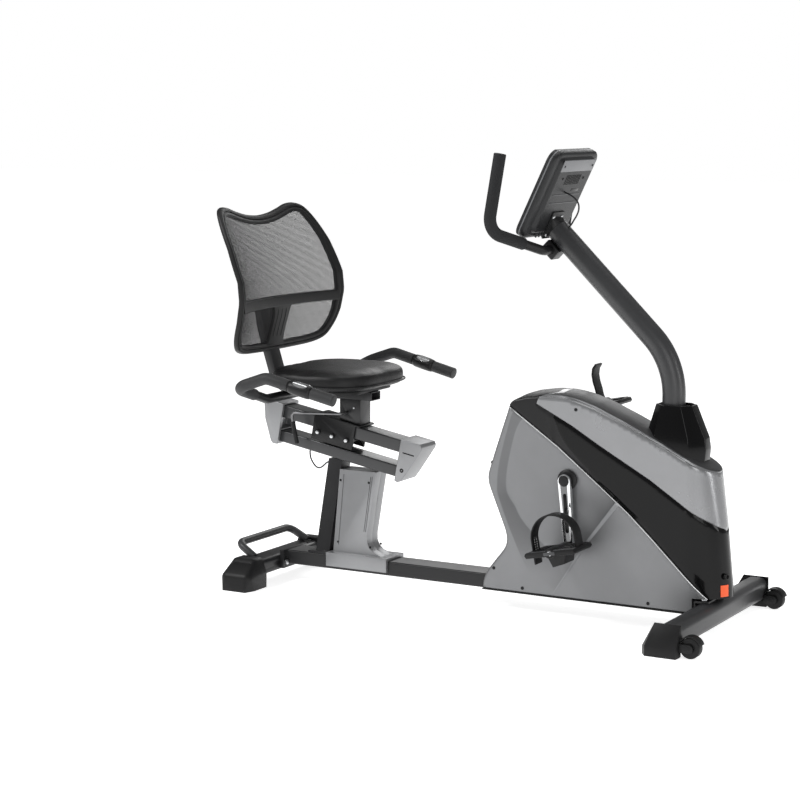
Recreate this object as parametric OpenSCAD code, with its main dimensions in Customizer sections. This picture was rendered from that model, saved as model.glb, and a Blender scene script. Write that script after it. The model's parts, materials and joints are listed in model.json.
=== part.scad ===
// Recumbent exercise bike. X points the way the rider faces, Z is up, and
// the origin lies on the floor below the middle of the bike. Millimetres.

/* [Base] */
// Width of the floor beam
beam_w = 80; // [70:1:84]
// Height of the floor beam
beam_h = 40; // [36:1:44]
// Half length of the front stabiliser, over its end caps
front_half = 330; // [310:1:340]
// Half length of the rear stabiliser, over its end caps
rear_half = 246; // [236:1:256]
// Radius of a transport wheel
wheel_r = 26; // [22:0.5:26]

/* [Drive] */
// Crank length, from the crank axis to the pedal axis
crank_len = 170; // [160:1:175]
// Outer radius of the drive pulley
pulley_r = 112; // [100:1:116]
// Outer radius of the flywheel
flywheel_r = 118; // [105:1:120]
// Radius of the small pulley on the flywheel
pinion_r = 20; // [16:1:24]

/* [Seat] */
// Slope of the seat rails, down towards the front, in degrees
rail_tilt = 10.5; // [10:0.1:11]
// Width of both seat rails
rail_w = 60; // [50:1:60]
// Half width of the seat cushion
seat_half = 188; // [180:1:205]

/* [Console] */
// Width of the console
console_w = 260; // [240:2:280]
// Length of the console, from its lower to its upper end
console_len = 244; // [230:2:250]
// Diameter of the mast
mast_d = 60; // [54:1:62]

/* [Hidden] */
$fn = 64;
hull_fn = 32;
gap = 0.4;
// from the middle of the base to the middle of the whole bike
origin_x = 7.7;
run_fit = 0.05;
wall = 2.5;

// floor beam
beam_z = 66;
beam_back = -618;
beam_front = 618;
bolt_y = 50;

// stabilisers
front_foot = [655, 49];
front_tube = [58, 62];
rear_foot = [-665, 53];
rear_tube = [70, 46];
foot_corner = 20;
cap_reach_front = 309;
cap_reach_rear = 152;
wheel_y = 299;
wheel_pos = [711, 27];
wheel_half = 12;
wheel_pin_r = 4;

// rear handle
handle_r = 11;
handle_pts = [[-664, -140, 79], [-722, -133, 112], [-722, 133, 112], [-664, 140, 79]];

// seat rails: the origin of the rail frame is on the upper rail's axis
rail_at = [-450, 0, 446.5];
rail_back = -205;
rail_front = 212;
upper_h = 36;
lower_h = 32;
lower_drop = 71.5;

// seat post
post_x_top = -470;
post_lean = 9.3;
post_foot_x = -528;
post_d = 44;
post_w = 50;

// crank, flywheel and belt
crank_at = [270, 370];
flywheel_at = [490, 224];
belt_y = 38;
belt_w = 12;
belt_t = 2;
axle_r = 10;
bearing_r = 21;
idler_r = 14;
pedal_y = 160;
pedal_half = 55;
pedal_reach = 68;
strap_half = 20;
strap_r = 64;
strap_t = 4;
rear_inset = 44;
pedal_tilt = -11;
pedal_pin_r = 7;
spindle_end = 213;
arm_y = 84;
arm_t = 14;
arm_lean = 5.2;
crank_spin_deg = -90 + arm_lean;
pedal_off = [crank_len * cos(crank_spin_deg), crank_len * sin(crank_spin_deg)];

// housing
house_half = 75;
shell_t = 2.5;
house_floor = 53;

// mast: it stands upright, bends back and runs up to the console
mast_x = 533;
mast_foot_z = 400;
mast_bend_z = 600;
mast_bend_r = 210;
mast_back = 45.5;
mast_run = 380;

// console frame: its origin is the middle of the lower edge of the rear plane
console_lean = 25.6;
console_at = [134, 0, 1006];
console_t = 42;

// handlebar
bar_r = 12.5;
foam_r = 16;
bar_half = 230;
bar_mid = [187.6, 963];
bar_pts = [
    [146, -bar_half, 1216],
    [112, -bar_half, 1019],
    [bar_mid[0], -60, bar_mid[1]],
    [bar_mid[0], 60, bar_mid[1]],
    [112, bar_half, 1019],
    [146, bar_half, 1216]
];

// seat, back rest and side bar, which slide together
seat_x = -472;
seat_z0 = 566;
seat_z1 = 618;
stem_x = -417;
stem_w = 66;
stem_d = 56;
side_r = 13;
side_pts = [
    [-286, -333, 571],
    [-488, -343, 619],
    [-584, -343, 586],
    [-584, -195, 539],
    [-584, -25.2, 539]
];
side_way = (side_pts[1] - side_pts[0]) / norm(side_pts[1] - side_pts[0]);
// the sensors lie between these distances from the bar's tip
sensor_span = [70, 134];
grip_r = 16;

// lever rod
lever_r = 4;
lever_at = [-428, 492];
lever_pts = [
    [lever_at[0], -14, lever_at[1]],
    [lever_at[0], -62, lever_at[1]],
    [-588, -62, 484],
    [-570, -62, 398]
];

// held cables, as points on their routes
console_cable_pts = [
    [226.3, -20, 1114.9], [235, -20, 1111], [246, -20, 1106], [259, -20, 1097],
    [267, -19, 1084], [267, -17, 1069], [260, -14, 1054], [250, -10, 1041],
    [241, -5, 1030.2], [234.8, -3, 1023.9]
];
sensor_cable_pts = [
    [-552, -20, 376], [-553, -20, 369], [-551, -20, 354], [-544, -20, 341],
    [-535, -20, 331], [-525, -20, 327], [-515, -20, 330], [-505, -20, 338],
    [-498, -20, 344], [-491.2, -20, 347]
];
cable_r = 2.2;

// ---- helpers ----

// every piece is drawn from the middle of the base, then moved to the origin
module placed() {
    translate([origin_x, 0, 0])
        children();
}

function unit(v) = v / norm(v);
function turn(a, b, c) = acos(unit(b - a) * unit(c - b));
function arc(cx, cy, r, a0, a1, n = 8) =
    [for (i = [0:n]) [cx + r * cos(a0 + (a1 - a0) * i / n), cy + r * sin(a0 + (a1 - a0) * i / n)]];

module aim(p, q) {
    d = q - p;
    translate(p)
        rotate([0, acos(d[2] / norm(d)), atan2(d[1], d[0])])
            children();
}

// centre line through corner points, with a bend of one radius at each corner
function bend_at(a, b, c, bend) =
    let (u = unit(b - a), w = unit(c - b), angle = turn(a, b, c), side = unit(w - (w * u) * u))
    let (centre = b - u * bend * tan(angle / 2) + side * bend, n = max(2, ceil(angle / 11)))
    [for (i = [0:n]) centre + bend * (sin(angle * i / n) * u - cos(angle * i / n) * side)];
function bent_path(pts, bend) = concat(
    [pts[0]],
    [for (i = [1:1:len(pts) - 2]) each bend_at(pts[i - 1], pts[i], pts[i + 1], bend)],
    [pts[len(pts) - 1]]
);

// each ring's sideways direction, carried along the path without twist
function heading(p, i) =
    let (a = p[max(i - 1, 0)], b = p[i], c = p[min(i + 1, len(p) - 1)])
    unit((i > 0 ? unit(b - a) : [0, 0, 0]) + (i < len(p) - 1 ? unit(c - b) : [0, 0, 0]));
function sideways(p, i = 0, last = [0.02, 0.01, 1]) =
    i == len(p) ? [] :
    let (t = heading(p, i), s = unit(last - (last * t) * t))
    concat([s], sideways(p, i + 1, s));

// a round bar with n sides along a path
module sweep(path, r, n) {
    m = len(path);
    ways = sideways(path);
    rings = [for (i = [0:m - 1], k = [0:n - 1])
        path[i] + r * (cos(360 * k / n) * ways[i] + sin(360 * k / n) * cross(heading(path, i), ways[i]))];
    sides = [for (i = [0:m - 2], k = [0:n - 1])
        [i * n + (k + 1) % n, i * n + k, (i + 1) * n + k, (i + 1) * n + (k + 1) % n]];
    ends = [[for (k = [0:n - 1]) k], [for (k = [0:n - 1]) m * n - 1 - k]];
    polyhedron(points = rings, faces = concat(sides, ends));
}

// the same path, run on by 1 mm at both ends
function run_on(p) = concat(
    [p[0] - heading(p, 0)],
    [for (i = [1:len(p) - 2]) p[i]],
    [p[len(p) - 1] + heading(p, len(p) - 1)]
);

// a round tube through corner points, with a bend of one radius at each corner
module bent_tube(pts, r, t, bend, n = 24) {
    path = bent_path(pts, bend);
    difference() {
        sweep(path, r, n);
        if (t < r)
            sweep(run_on(path), r - t, n);
    }
}

// an outline in X and Z, made solid from one Y to another
module slab(y0, y1) {
    translate([0, y1, 0])
        rotate([90, 0, 0])
            linear_extrude(y1 - y0)
                children();
}

module both_sides() {
    children();
    mirror([0, 1, 0])
        children();
}

module rounded_rect(w, h, r) {
    square([w - 2 * r, h], center = true);
    square([w, h - 2 * r], center = true);
    for (x = [-1, 1], y = [-1, 1])
        translate([x * (w / 2 - r), y * (h / 2 - r)])
            circle(r = r);
}

module tube_profile(w, h, r, t) {
    difference() {
        rounded_rect(w, h, r);
        rounded_rect(w - 2 * t, h - 2 * t, r - t);
    }
}

// rectangular tube along +X from the origin
module box_tube(w, h, r, t, length) {
    rotate([90, 0, 90])
        linear_extrude(length)
            tube_profile(w, h, r, t);
}

module on_rail() {
    translate(rail_at)
        rotate([0, rail_tilt, 0])
            children();
}

module on_console() {
    translate(console_at)
        rotate([0, console_lean, 0])
            children();
}

// ---- base ----

module main_beam() {
    color("#232427") {
        translate([beam_back, 0, beam_z])
            box_tube(beam_w, beam_h, 5, wall, beam_front - beam_back);
        // rear flange, against the rear stabiliser
        difference() {
            translate([beam_back - 11.6, -62, 36])
                cube([11.6, 124, 52]);
            for (y = [-bolt_y, bolt_y])
                translate([beam_back - 20, y, 53])
                    rotate([0, 90, 0])
                        cylinder(h = 30, r = 4.2);
        }
        // front saddle, over the front stabiliser
        translate([beam_front, -62, 30])
            cube([7.8, 124, 56]);
        difference() {
            translate([beam_front, -62, 80.2])
                cube([44, 124, 5.8]);
            for (y = [-bolt_y, bolt_y])
                translate([front_foot[0] - 10, y, 70])
                    cylinder(h = 30, r = 4.2);
        }
    }
}

module front_stabiliser() {
    color("#4a4b4e")
        difference() {
            translate([front_foot[0], 0, front_foot[1]])
                rotate([90, 0, 0])
                    linear_extrude(2 * cap_reach_front, center = true)
                        tube_profile(front_tube[0], front_tube[1], foot_corner, wall);
            for (y = [-bolt_y, bolt_y])
                translate([front_foot[0] - 10, y, 40])
                    cylinder(h = 60, r = 4.2);
        }
}

// one front end cap with its wheel fork and fender, on the right side
module front_cap() {
    ya = -front_half;
    difference() {
        hull() {
            translate([618, -cap_reach_front - 1.05, 4])
                cube([70, 1, 78]);
            translate([600, -cap_reach_front - 1, 0])
                cube([84, 4, 40]);
            translate([584, -cap_reach_front + 3, 0])
                cube([20, 4, 20]);
            translate([600, ya, 0])
                cube([82, 2, 26]);
        }
        // room for the end of the stabiliser
        translate([625.5, -cap_reach_front - 0.3, 17.5])
            cube([59, 60, 64]);
        translate([wheel_pos[0], -wheel_y, wheel_pos[1]])
            rotate([90, 0, 0])
                cylinder(h = 2 * wheel_half + 3, r = wheel_r + 2, center = true);
    }
    // fork cheeks and the fender over the wheel
    for (y = [-wheel_y - wheel_half - 8, -wheel_y + wheel_half + 1])
        slab(y, y + 7) {
            translate(wheel_pos)
                circle(r = 11);
            translate([front_foot[0] + 30.5, wheel_pos[1] - 11])
                square([26, 22]);
        }
    difference() {
        slab(-wheel_y - wheel_half - 1, -wheel_y + wheel_half + 1)
            difference() {
                translate(wheel_pos)
                    circle(r = wheel_r + 5);
                translate(wheel_pos)
                    circle(r = wheel_r + 1.5);
                translate([600, -40])
                    square([200, wheel_pos[1] + 50]);
                translate([600, -40])
                    square([front_foot[0] + 29.4 - 600, 200]);
            }
        translate([front_foot[0] - 40, -330, 0])
            cube([69.4, 80, 90]);
    }
    slab(-wheel_y - wheel_half - 1, -wheel_y + wheel_half + 1)
        translate(wheel_pos)
            circle(r = wheel_pin_r);
}

module front_caps() {
    color("#1b1b1d")
        both_sides()
            front_cap();
}

module rear_stabiliser() {
    color("#1f2023")
        difference() {
            translate([rear_foot[0], 0, rear_foot[1]])
                rotate([90, 0, 0])
                    linear_extrude(2 * (rear_half - rear_inset), center = true)
                        tube_profile(rear_tube[0], rear_tube[1], 12, wall);
            for (y = [-bolt_y, bolt_y])
                translate([rear_foot[0], y, rear_foot[1]])
                    rotate([0, 90, 0])
                        cylinder(h = 60, r = 4.2);
        }
}

module rear_cap() {
    difference() {
        hull() {
            for (x = [-704, -628])
                translate([x, -cap_reach_rear, 40])
                    rotate([90, 0, 0])
                        cylinder(h = 40, r = 12, $fn = hull_fn);
            for (x = [-690, -642])
                translate([x, -cap_reach_rear, 68])
                    rotate([90, 0, 0])
                        cylinder(h = 36, r = 16, $fn = hull_fn);
            translate([-714, -cap_reach_rear - 62, 0])
                cube([97, 62, 6]);
            translate([-702, -rear_half, 0])
                cube([74, 20, 6]);
            for (x = [-694, -636])
                translate([x, -rear_half + 22, 34])
                    sphere(r = 20, $fn = hull_fn);
        }
        translate([rear_foot[0], 0, rear_foot[1]])
            rotate([90, 0, 0])
                linear_extrude(rear_half - rear_inset)
                    rounded_rect(rear_tube[0], rear_tube[1], 12);
    }
}

module rear_caps() {
    color("#1b1b1d")
        both_sides()
            rear_cap();
}

module rear_handle() {
    color("#232427") {
        difference() {
            bent_tube(handle_pts, handle_r, 2, 26);
            translate([-720, -200, 40])
                cube([120, 400, 38.5]);
        }
        for (y = [-140, 140])
            translate([-664, y, 76])
                cylinder(h = 2.5, r = 11.5);
    }
}

// carriage bolts that hold the stabilisers on the beam
module stabiliser_bolts() {
    color("#8d8f93")
        both_sides() {
            translate([-636, bolt_y, 53])
                rotate([0, 90, 0])
                    cylinder(h = 22, r = 4);
            translate([beam_back + 0.2, bolt_y, 53])
                rotate([0, 90, 0])
                    cylinder(h = 7, r = 8, $fn = 6);
            translate([front_foot[0] - 10, bolt_y, 70])
                cylinder(h = 20, r = 4);
            translate([front_foot[0] - 10, bolt_y, 86.2])
                cylinder(h = 5, r = 8);
        }
}

// ---- seat post and rails ----

// middle of the seat post at a height
function post_x(z) = post_foot_x + post_d / 2 + (z - 94) * tan(post_lean) - 4;

module post_outline(z0, z1, front, back) {
    polygon([
        [post_x(z0) - back, z0],
        [post_x(z0) + front, z0],
        [post_x(z1) + front, z1],
        [post_x(z1) - back, z1]
    ]);
}

module seat_post() {
    color("#2a2b2e") {
        difference() {
            slab(-post_w / 2, post_w / 2)
                post_outline(92.2, 358, post_d / 2, post_d / 2);
            slab(-post_w / 2 + wall, post_w / 2 - wall)
                post_outline(96, 340, post_d / 2 - wall, post_d / 2 - wall);
            on_rail()
                translate([-300, -60, -lower_drop - lower_h / 2])
                    cube([600, 120, 80]);
        }
        // foot plate on the beam
        translate([post_x(92) - 40, -beam_w / 2 + 2, beam_z + beam_h / 2])
            cube([120, beam_w - 4, 92.2 - beam_z - beam_h / 2]);
    }
}

// half of the cover that wraps the front of the seat post
module post_cover() {
    front = [
        [-332, 331], [-345, 255], [-357, 180], [-362, 151], [-362, 130],
        [-356, 116], [-342, 104], [-318, 95], [-290, 92.6]
    ];
    back = [[-472, 92.6], [-449, 331]];
    inner = [
        [-336, 326], [-349, 255], [-361, 180], [-366, 151], [-366, 130],
        [-361, 114], [-346, 101], [-320, 95], [-462, 95], [-455, 180], [-440, 326]
    ];
    difference() {
        slab(-30, -0.2)
            polygon(concat(back, front));
        slab(-27.6, 1)
            polygon(inner);
        slab(-post_w / 2 - 0.3, 1)
            post_outline(80, 345, post_d / 2 + 0.3, post_d / 2 + 6);
        translate([post_x(92) - 45, -beam_w / 2 + 1.7, 80])
            cube([125.3, 60, 12.5]);
        on_rail()
            translate([-300, -60, -lower_drop - lower_h / 2 - 0.2])
                cube([600, 120, 80]);
    }
    // skirt that straddles the beam
    difference() {
        translate([-484, -50, 56])
            cube([194, 49.8, 38.5]);
        translate([-490, -beam_w / 2 - 0.2, 40])
            cube([206, 60, beam_z + beam_h / 2 + 0.2 - 40]);
        translate([post_x(92) - 45, -beam_w / 2 + 1.7, 80])
            cube([125.3, 60, 12.5]);
        slab(-post_w / 2 - 0.3, 1)
            post_outline(80, 345, post_d / 2 + 0.3, post_d / 2 + 0.3);
        slab(-27.6, 1)
            polygon([[-462, 92.7], [-330, 92.7], [-330, 100], [-455, 100]]);
    }
}

module post_cover_right() {
    color("#a3a5a8")
        post_cover();
}

module post_cover_left() {
    color("#a3a5a8")
        mirror([0, 1, 0])
            post_cover();
}

module rail(h, drop) {
    translate([rail_back, 0, -drop])
        box_tube(rail_w, h, 4, wall, rail_front - rail_back);
}

module lower_rail() {
    color("#3a3b3e")
        on_rail()
            rail(lower_h, lower_drop);
}

module upper_rail() {
    color("#3a3b3e")
        on_rail()
            rail(upper_h, 0);
}

// cap over the ends of both rails; its outline is in the rail frame
module rail_cap(outline, x0) {
    difference() {
        slab(-42, 42)
            polygon(outline);
        for (d = [[0, upper_h], [lower_drop, lower_h]])
            translate([rail_back, -rail_w / 2 - 0.1, -d[0] - d[1] / 2 - 0.1])
                cube([rail_front - rail_back, rail_w + 0.2, d[1] + 0.2]);
        translate([x0, -rail_w / 2 - 0.1, -lower_drop + lower_h / 2 + 4])
            cube([26, rail_w + 0.2, lower_drop - lower_h / 2 - upper_h / 2 - 8]);
    }
}

module rail_cap_front() {
    color("#b1b3b6")
        on_rail()
            rail_cap([
                [202, -96], [212, -98], [223, -92], [234, -70], [269, 8],
                [269, 16], [263, 24], [202, 24]
            ], 200);
}

module rail_cap_rear() {
    color("#b1b3b6")
        on_rail()
            rail_cap([
                [-185, -94], [-200, -96], [-208, -90], [-238, -30], [-248, 14],
                [-244, 22], [-238, 24], [-185, 24]
            ], -209);
}

// ---- drive, inside the housing ----

// where the belt's lower run leaves the drive pulley, and the idler below it
belt_span = flywheel_at - crank_at;
belt_turn = atan2(belt_span[1], belt_span[0]) - acos((pulley_r - pinion_r) / norm(belt_span));
belt_out = [cos(belt_turn), sin(belt_turn)];
idler_at = crank_at + 0.45 * belt_span
    + (pulley_r - 0.45 * (pulley_r - pinion_r) + idler_r + 0.3 + gap) * belt_out;
magnet_pivot = flywheel_at + (flywheel_r + 22) * [cos(122), sin(122)];

module frame_plate(y0, y1, hub_r) {
    difference() {
        slab(y0, y1)
            polygon([
                [232, 86], [617, 86], [612, 150], [580, 330], [566, 470], [498, 470],
                [490, 400], [330, 416], [300, 412], [230, 400], [222, 350]
            ]);
        slab(y0 - 1, y1 + 1) {
            translate(flywheel_at)
                circle(r = hub_r);
            polygon([[275, 120], [340, 120], [330, 190], [300, 320], [285, 320]]);
        }
    }
}

module inner_frame() {
    color("#3b3c3f")
        difference() {
            union() {
                frame_plate(-34, -30, 6 + run_fit);
                frame_plate(16, 20, pinion_r + 6);
                translate([mast_x, 0, mast_foot_z - 10])
                    cylinder(h = 82, r = mast_d / 2 + 5);
                slab(-34, 20)
                    translate(crank_at)
                        circle(r = bearing_r + 5);
                // outer support of the flywheel axle
                difference() {
                    slab(52, 56)
                        polygon([[440, 86], [540, 86], [512, 240], [468, 240]]);
                    slab(50, 60)
                        translate(flywheel_at)
                            circle(r = 6 + run_fit);
                }
                translate([440, 19, 86])
                    cube([100, 37, 6]);
                // pins of the idler and of the magnet bracket
                slab(19, belt_y + 14)
                    translate(idler_at)
                        circle(r = 5);
                slab(-31, 17)
                    translate(magnet_pivot)
                        circle(r = 3);
            }
            translate([mast_x, 0, mast_foot_z])
                cylinder(h = 120, r = mast_d / 2 + 0.1);
            slab(-60, 60)
                translate(crank_at)
                    circle(r = bearing_r);
        }
}

module crank_bearings() {
    color("#c0c2c5")
        for (y = [-34, 8])
            slab(y, y + 12)
                translate(crank_at)
                    difference() {
                        circle(r = bearing_r);
                        circle(r = axle_r + run_fit);
                    }
}

module crank_axle() {
    color("#b5b7ba")
        slab(-arm_y - arm_t + 2, arm_y + arm_t - 2)
            translate(crank_at)
                circle(r = axle_r);
}

module pulley_outline(outer, inner) {
    translate(crank_at)
        difference() {
            circle(r = outer);
            circle(r = inner);
        }
}

module drive_pulley() {
    color("#2b2c2f") {
        slab(belt_y - 8, belt_y + 8)
            pulley_outline(pulley_r - belt_t, pulley_r - 14);
        slab(belt_y + 7, belt_y + 9)
            pulley_outline(pulley_r + 2, pulley_r - 14);
        slab(belt_y - 9, belt_y - 7)
            pulley_outline(pulley_r + 2, pulley_r - 14);
        difference() {
            slab(belt_y - 2, belt_y + 2)
                pulley_outline(pulley_r - 10, axle_r);
            slab(belt_y - 4, belt_y + 4)
                for (a = [0:60:300])
                    translate(crank_at + 62 * [cos(a), sin(a)])
                        circle(r = 22);
        }
        slab(belt_y - 12, belt_y + 12)
            pulley_outline(24, axle_r);
    }
}

module flywheel_axle() {
    color("#b5b7ba") {
        slab(-46, 64)
            translate(flywheel_at)
                circle(r = 6);
        for (y = [-39.2, 56.2])
            slab(y, y + 5)
                translate(flywheel_at)
                    difference() {
                        circle(r = 11, $fn = 6);
                        circle(r = 6);
                    }
    }
}

module fly_ring(y0, y1, outer, inner) {
    slab(y0, y1)
        translate(flywheel_at)
            difference() {
                circle(r = outer);
                circle(r = inner);
            }
}

module flywheel() {
    color("#8a8c90") {
        fly_ring(-19, 5, flywheel_r, flywheel_r - 26);
        fly_ring(-10, -2, flywheel_r - 24, 24);
        fly_ring(-22, 10, 26, 6 + run_fit);
        // the small pulley, on the hub's far end
        fly_ring(9, belt_y + 8, pinion_r - belt_t, 6 + run_fit);
    }
}

module belt_loop(extra) {
    hull() {
        translate(crank_at)
            circle(r = pulley_r + extra, $fn = 96);
        translate(flywheel_at)
            circle(r = pinion_r + extra, $fn = 48);
    }
}

module belt() {
    color("#151516")
        slab(belt_y - belt_w / 2, belt_y + belt_w / 2)
            difference() {
                belt_loop(0.3);
                belt_loop(0.3 - belt_t);
            }
}

module idler_pulley() {
    color("#3a3b3e")
        slab(belt_y - 9, belt_y + 9)
            translate(idler_at)
                difference() {
                    circle(r = idler_r);
                    circle(r = 5 + run_fit);
                }
}

module magnet_bracket() {
    color("#6e7074")
        slab(-20, 6)
            difference() {
                union() {
                    translate(flywheel_at)
                        difference() {
                            intersection() {
                                circle(r = flywheel_r + 14);
                                polygon([[0, 0], [-220, 30], [-130, 208]]);
                            }
                            circle(r = flywheel_r + 3);
                        }
                    translate(magnet_pivot)
                        circle(r = 10);
                }
                translate(magnet_pivot)
                    circle(r = 3 + run_fit);
                translate(flywheel_at)
                    circle(r = flywheel_r + 3);
            }
}

module resistance_motor() {
    color("#202124")
        translate([400, -28, 358])
            cube([46, 34, 38]);
}

// ---- mast, handlebar and console ----

function mast_top() = [
    mast_x - mast_bend_r * (1 - cos(mast_back)) - mast_run * sin(mast_back),
    0,
    mast_bend_z + mast_bend_r * sin(mast_back) + mast_run * cos(mast_back)
];
mast_pts = [
    [mast_x, 0, mast_foot_z],
    [mast_x, 0, mast_bend_z + mast_bend_r * tan(mast_back / 2)],
    mast_top()
];

module mast() {
    color("#2c2d30")
        bent_tube(mast_pts, mast_d / 2, 3, mast_bend_r);
}

module mast_collar() {
    color("#0e0e0f")
        difference() {
            hull() {
                translate([541, 0, 578])
                    linear_extrude(2)
                        rounded_rect(102, 84, 30, $fn = hull_fn);
                translate([546, 0, 500])
                    linear_extrude(2)
                        rounded_rect(164, 104, 34, $fn = hull_fn);
                translate([550, 0, 442])
                    linear_extrude(2)
                        rounded_rect(150, 110, 34, $fn = hull_fn);
            }
            hull() {
                translate([541, 0, 570])
                    linear_extrude(2)
                        rounded_rect(94, 76, 26, $fn = hull_fn);
                translate([550, 0, 440])
                    linear_extrude(2)
                        rounded_rect(142, 100, 30, $fn = hull_fn);
            }
            translate([mast_x, 0, 430])
                cylinder(h = 200, r = mast_d / 2 + 0.5);
            slab(-100, 100)
                top_line_cut();
        }
}

module console_bracket() {
    color("#2a2b2d") {
        on_console()
            translate([console_t - 6 + 0.05, -34, 4])
                cube([4, 68, 76]);
        // neck welded between the plate and the mast's end
        hull() {
            on_console()
                translate([console_t - 5, -28, 10])
                    cube([2, 56, 56]);
            aim(mast_top(), mast_top() + [-sin(mast_back), 0, cos(mast_back)])
                translate([0, 0, 0.05])
                    cylinder(h = 1.5, r = mast_d / 2 - 1);
        }
    }
}

module console_outline(w, h, r) {
    translate([0, h / 2])
        rounded_rect(w, h, r);
}

// the console frame has X away from the rider, Y across and Z up the face
module console_plate(x0, x1, w, z0, z1, r) {
    translate([x0, 0, z0])
        rotate([90, 0, 90])
            linear_extrude(x1 - x0)
                console_outline(w, z1 - z0, r);
}

module console_back() {
    color("#2f3033")
        on_console()
            difference() {
                union() {
                    console_plate(8, 26, console_w, 0, console_len, 30);
                    console_plate(26, console_t - 6, console_w - 60, 20, console_len - 12, 24);
                }
                console_plate(7, 22, console_w - 6, 3, console_len - 3, 27);
                console_plate(21, console_t - 9, console_w - 66, 23, console_len - 15, 21);
            }
}

module console_face() {
    color("#3a3b3e")
        on_console()
            difference() {
                console_plate(0, 7.8, console_w, 0, console_len, 30);
                console_plate(-1, 3, 150, 112, 202, 8);
                translate([-1, 0, 56])
                    rotate([0, 90, 0])
                        cylinder(h = 12, r = 20.4);
                for (y = [-62, 62])
                    translate([-1, y - 16.4, 47.6])
                        cube([12, 32.8, 16.8]);
            }
}

module display_lens() {
    color("#6f7f78")
        on_console()
            console_plate(1, 2.9, 149, 112.5, 201.5, 7.5);
}

module dial() {
    color("#18181a")
        on_console()
            translate([0, 0, 56])
                rotate([0, 90, 0])
                    translate([0, 0, -14])
                        cylinder(h = 20, r = 20);
}

module key(y) {
    color("#55575b")
        on_console()
            translate([-3, y - 16, 48])
                cube([9, 32, 16]);
}

module key_start() {
    key(-62);
}

module key_reset() {
    key(62);
}

module handlebar() {
    color("#303134") {
        bent_tube(bar_pts, bar_r, 2, 55);
        // clamp block between the bar and the mast
        difference() {
            translate([bar_mid[0], 0, bar_mid[1]])
                rotate([0, 90 - mast_back, 0])
                    translate([-22, -22, -16])
                        cube([44, 44, 34]);
            aim(mast_pts[1], mast_pts[2])
                cylinder(h = 600, r = mast_d / 2);
            translate([bar_mid[0], 0, bar_mid[1]])
                rotate([90, 0, 0])
                    cylinder(h = 60, r = bar_r + run_fit, center = true);
        }
    }
}

module bar_grips() {
    a = bar_pts[1];
    b = bar_pts[2];
    color("#3c3d40")
        both_sides()
            bent_tube([a + 0.66 * (b - a), a, bar_pts[0]], foam_r, foam_r - bar_r - 0.3, 55);
}

// ---- housing ----

rear_edge = [
    [20, house_floor], [22, 78], [34, 104], [62, 140], [84, 168], [92, 190],
    [90, 212], [80, 240], [44, 326], [38, 346], [37, 362], [42, 384], [70, 470], [102, 563]
];
crown = [
    [112, 570], [150, 580], [200, 585], [241, 584], [262, 582], [289, 577], [340, 562],
    [417, 530], [528, 479], [610, 437], [640, 424], [664, 414]
];
front_edge = [[684, 277], [702, 110], [704, house_floor]];
band_low = [[102, 549], [240, 455], [363, 359], [440, 298], [505, 239], [588, 159], [652, 98], [710, 52]];
band_high = [[178, 563], [280, 512], [362, 464], [502, 387], [613, 315], [663, 286], [710, 262]];

module top_line_cut() {
    polygon(concat([[0, 300], [0, 600]], [for (p = crown) p + [0, 0.6]], [[720, 400], [720, 300]]));
}

// the nose is round in plan
module plan_outline(side, nose_x) {
    half = house_half - side;
    linear_extrude(700)
        polygon(concat(
            [[10, -half], [600, -half]],
            [for (i = [1:11]) [600 + (nose_x - side - 600) * sin(i * 7.5), -half * cos(i * 7.5)]],
            [[nose_x - side, 0]],
            [for (i = [11:-1:1]) [600 + (nose_x - side - 600) * sin(i * 7.5), half * cos(i * 7.5)]],
            [[600, half], [10, half]]
        ));
}

module side_outline(side) {
    offset(delta = -side)
        polygon(concat(rear_edge, crown, front_edge));
}

module housing_skin() {
    difference() {
        intersection() {
            slab(-house_half, house_half)
                side_outline(0);
            plan_outline(0, 704);
        }
        intersection() {
            slab(-house_half, house_half)
                difference() {
                    side_outline(shell_t);
                }
            plan_outline(shell_t, 704);
        }
        // open over the front stabiliser and where the beam runs through
        translate([beam_front - 0.4, -100, 0])
            cube([120, 200, 92]);
        translate([15, -beam_w / 2 - 0.4, 0])
            cube([640, beam_w + 0.8, beam_z + beam_h / 2 + 0.3]);
        slab(-100, 100)
            translate(crank_at)
                circle(r = 17);
    }
}

module panel_region() {
    polygon(concat([[0, 0], [0, 620], [90, 620]], [for (p = band_low) p - [0, 0.2]], [[720, 0]]));
}

module band_region() {
    polygon(concat([for (p = band_low) p + [0, 0.2]], [[760, 52], [760, 262]],
        [for (i = [len(band_high) - 1:-1:0]) band_high[i] - [0, 0.2]], [[196, 620], [92, 620]]));
}

module top_region() {
    polygon(concat([[198, 620]], [for (p = band_high) p + [0, 0.2]], [[760, 262], [760, 620]]));
}

module side_panel() {
    intersection() {
        housing_skin();
        slab(-house_half - 1, -0.2)
            panel_region();
    }
}

module housing_right() {
    color("#8f9194")
        side_panel();
}

module housing_left() {
    color("#8f9194")
        mirror([0, 1, 0])
            side_panel();
}

module front_band() {
    color("#0c0c0d")
        difference() {
            intersection() {
                housing_skin();
                slab(-100, 100)
                    band_region();
            }
            slab(-44, -16)
                translate([670, 146])
                    square([60, 12]);
        }
}

module top_cover() {
    color("#a5a7aa")
        difference() {
            intersection() {
                housing_skin();
                slab(-100, 100)
                    top_region();
            }
            translate([470, -40, 380])
                cube([140, 80, 200]);
        }
}

module housing_screws() {
    color("#111112")
        for (p = [[55, 112], [128, 70], [470, 68], [262, 548], [48, 398]])
            both_sides()
                slab(-house_half - 1.2, -house_half + shell_t - 0.5)
                    translate(p)
                        circle(r = 4.5);
}

module dc_socket() {
    color("#2a2a2c")
        translate([672, -30, 152])
            rotate([0, 90, 0])
                difference() {
                    cylinder(h = 24, r = 5);
                    translate([0, 0, 6])
                        cylinder(h = 30, r = 3.2);
                }
}

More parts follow.
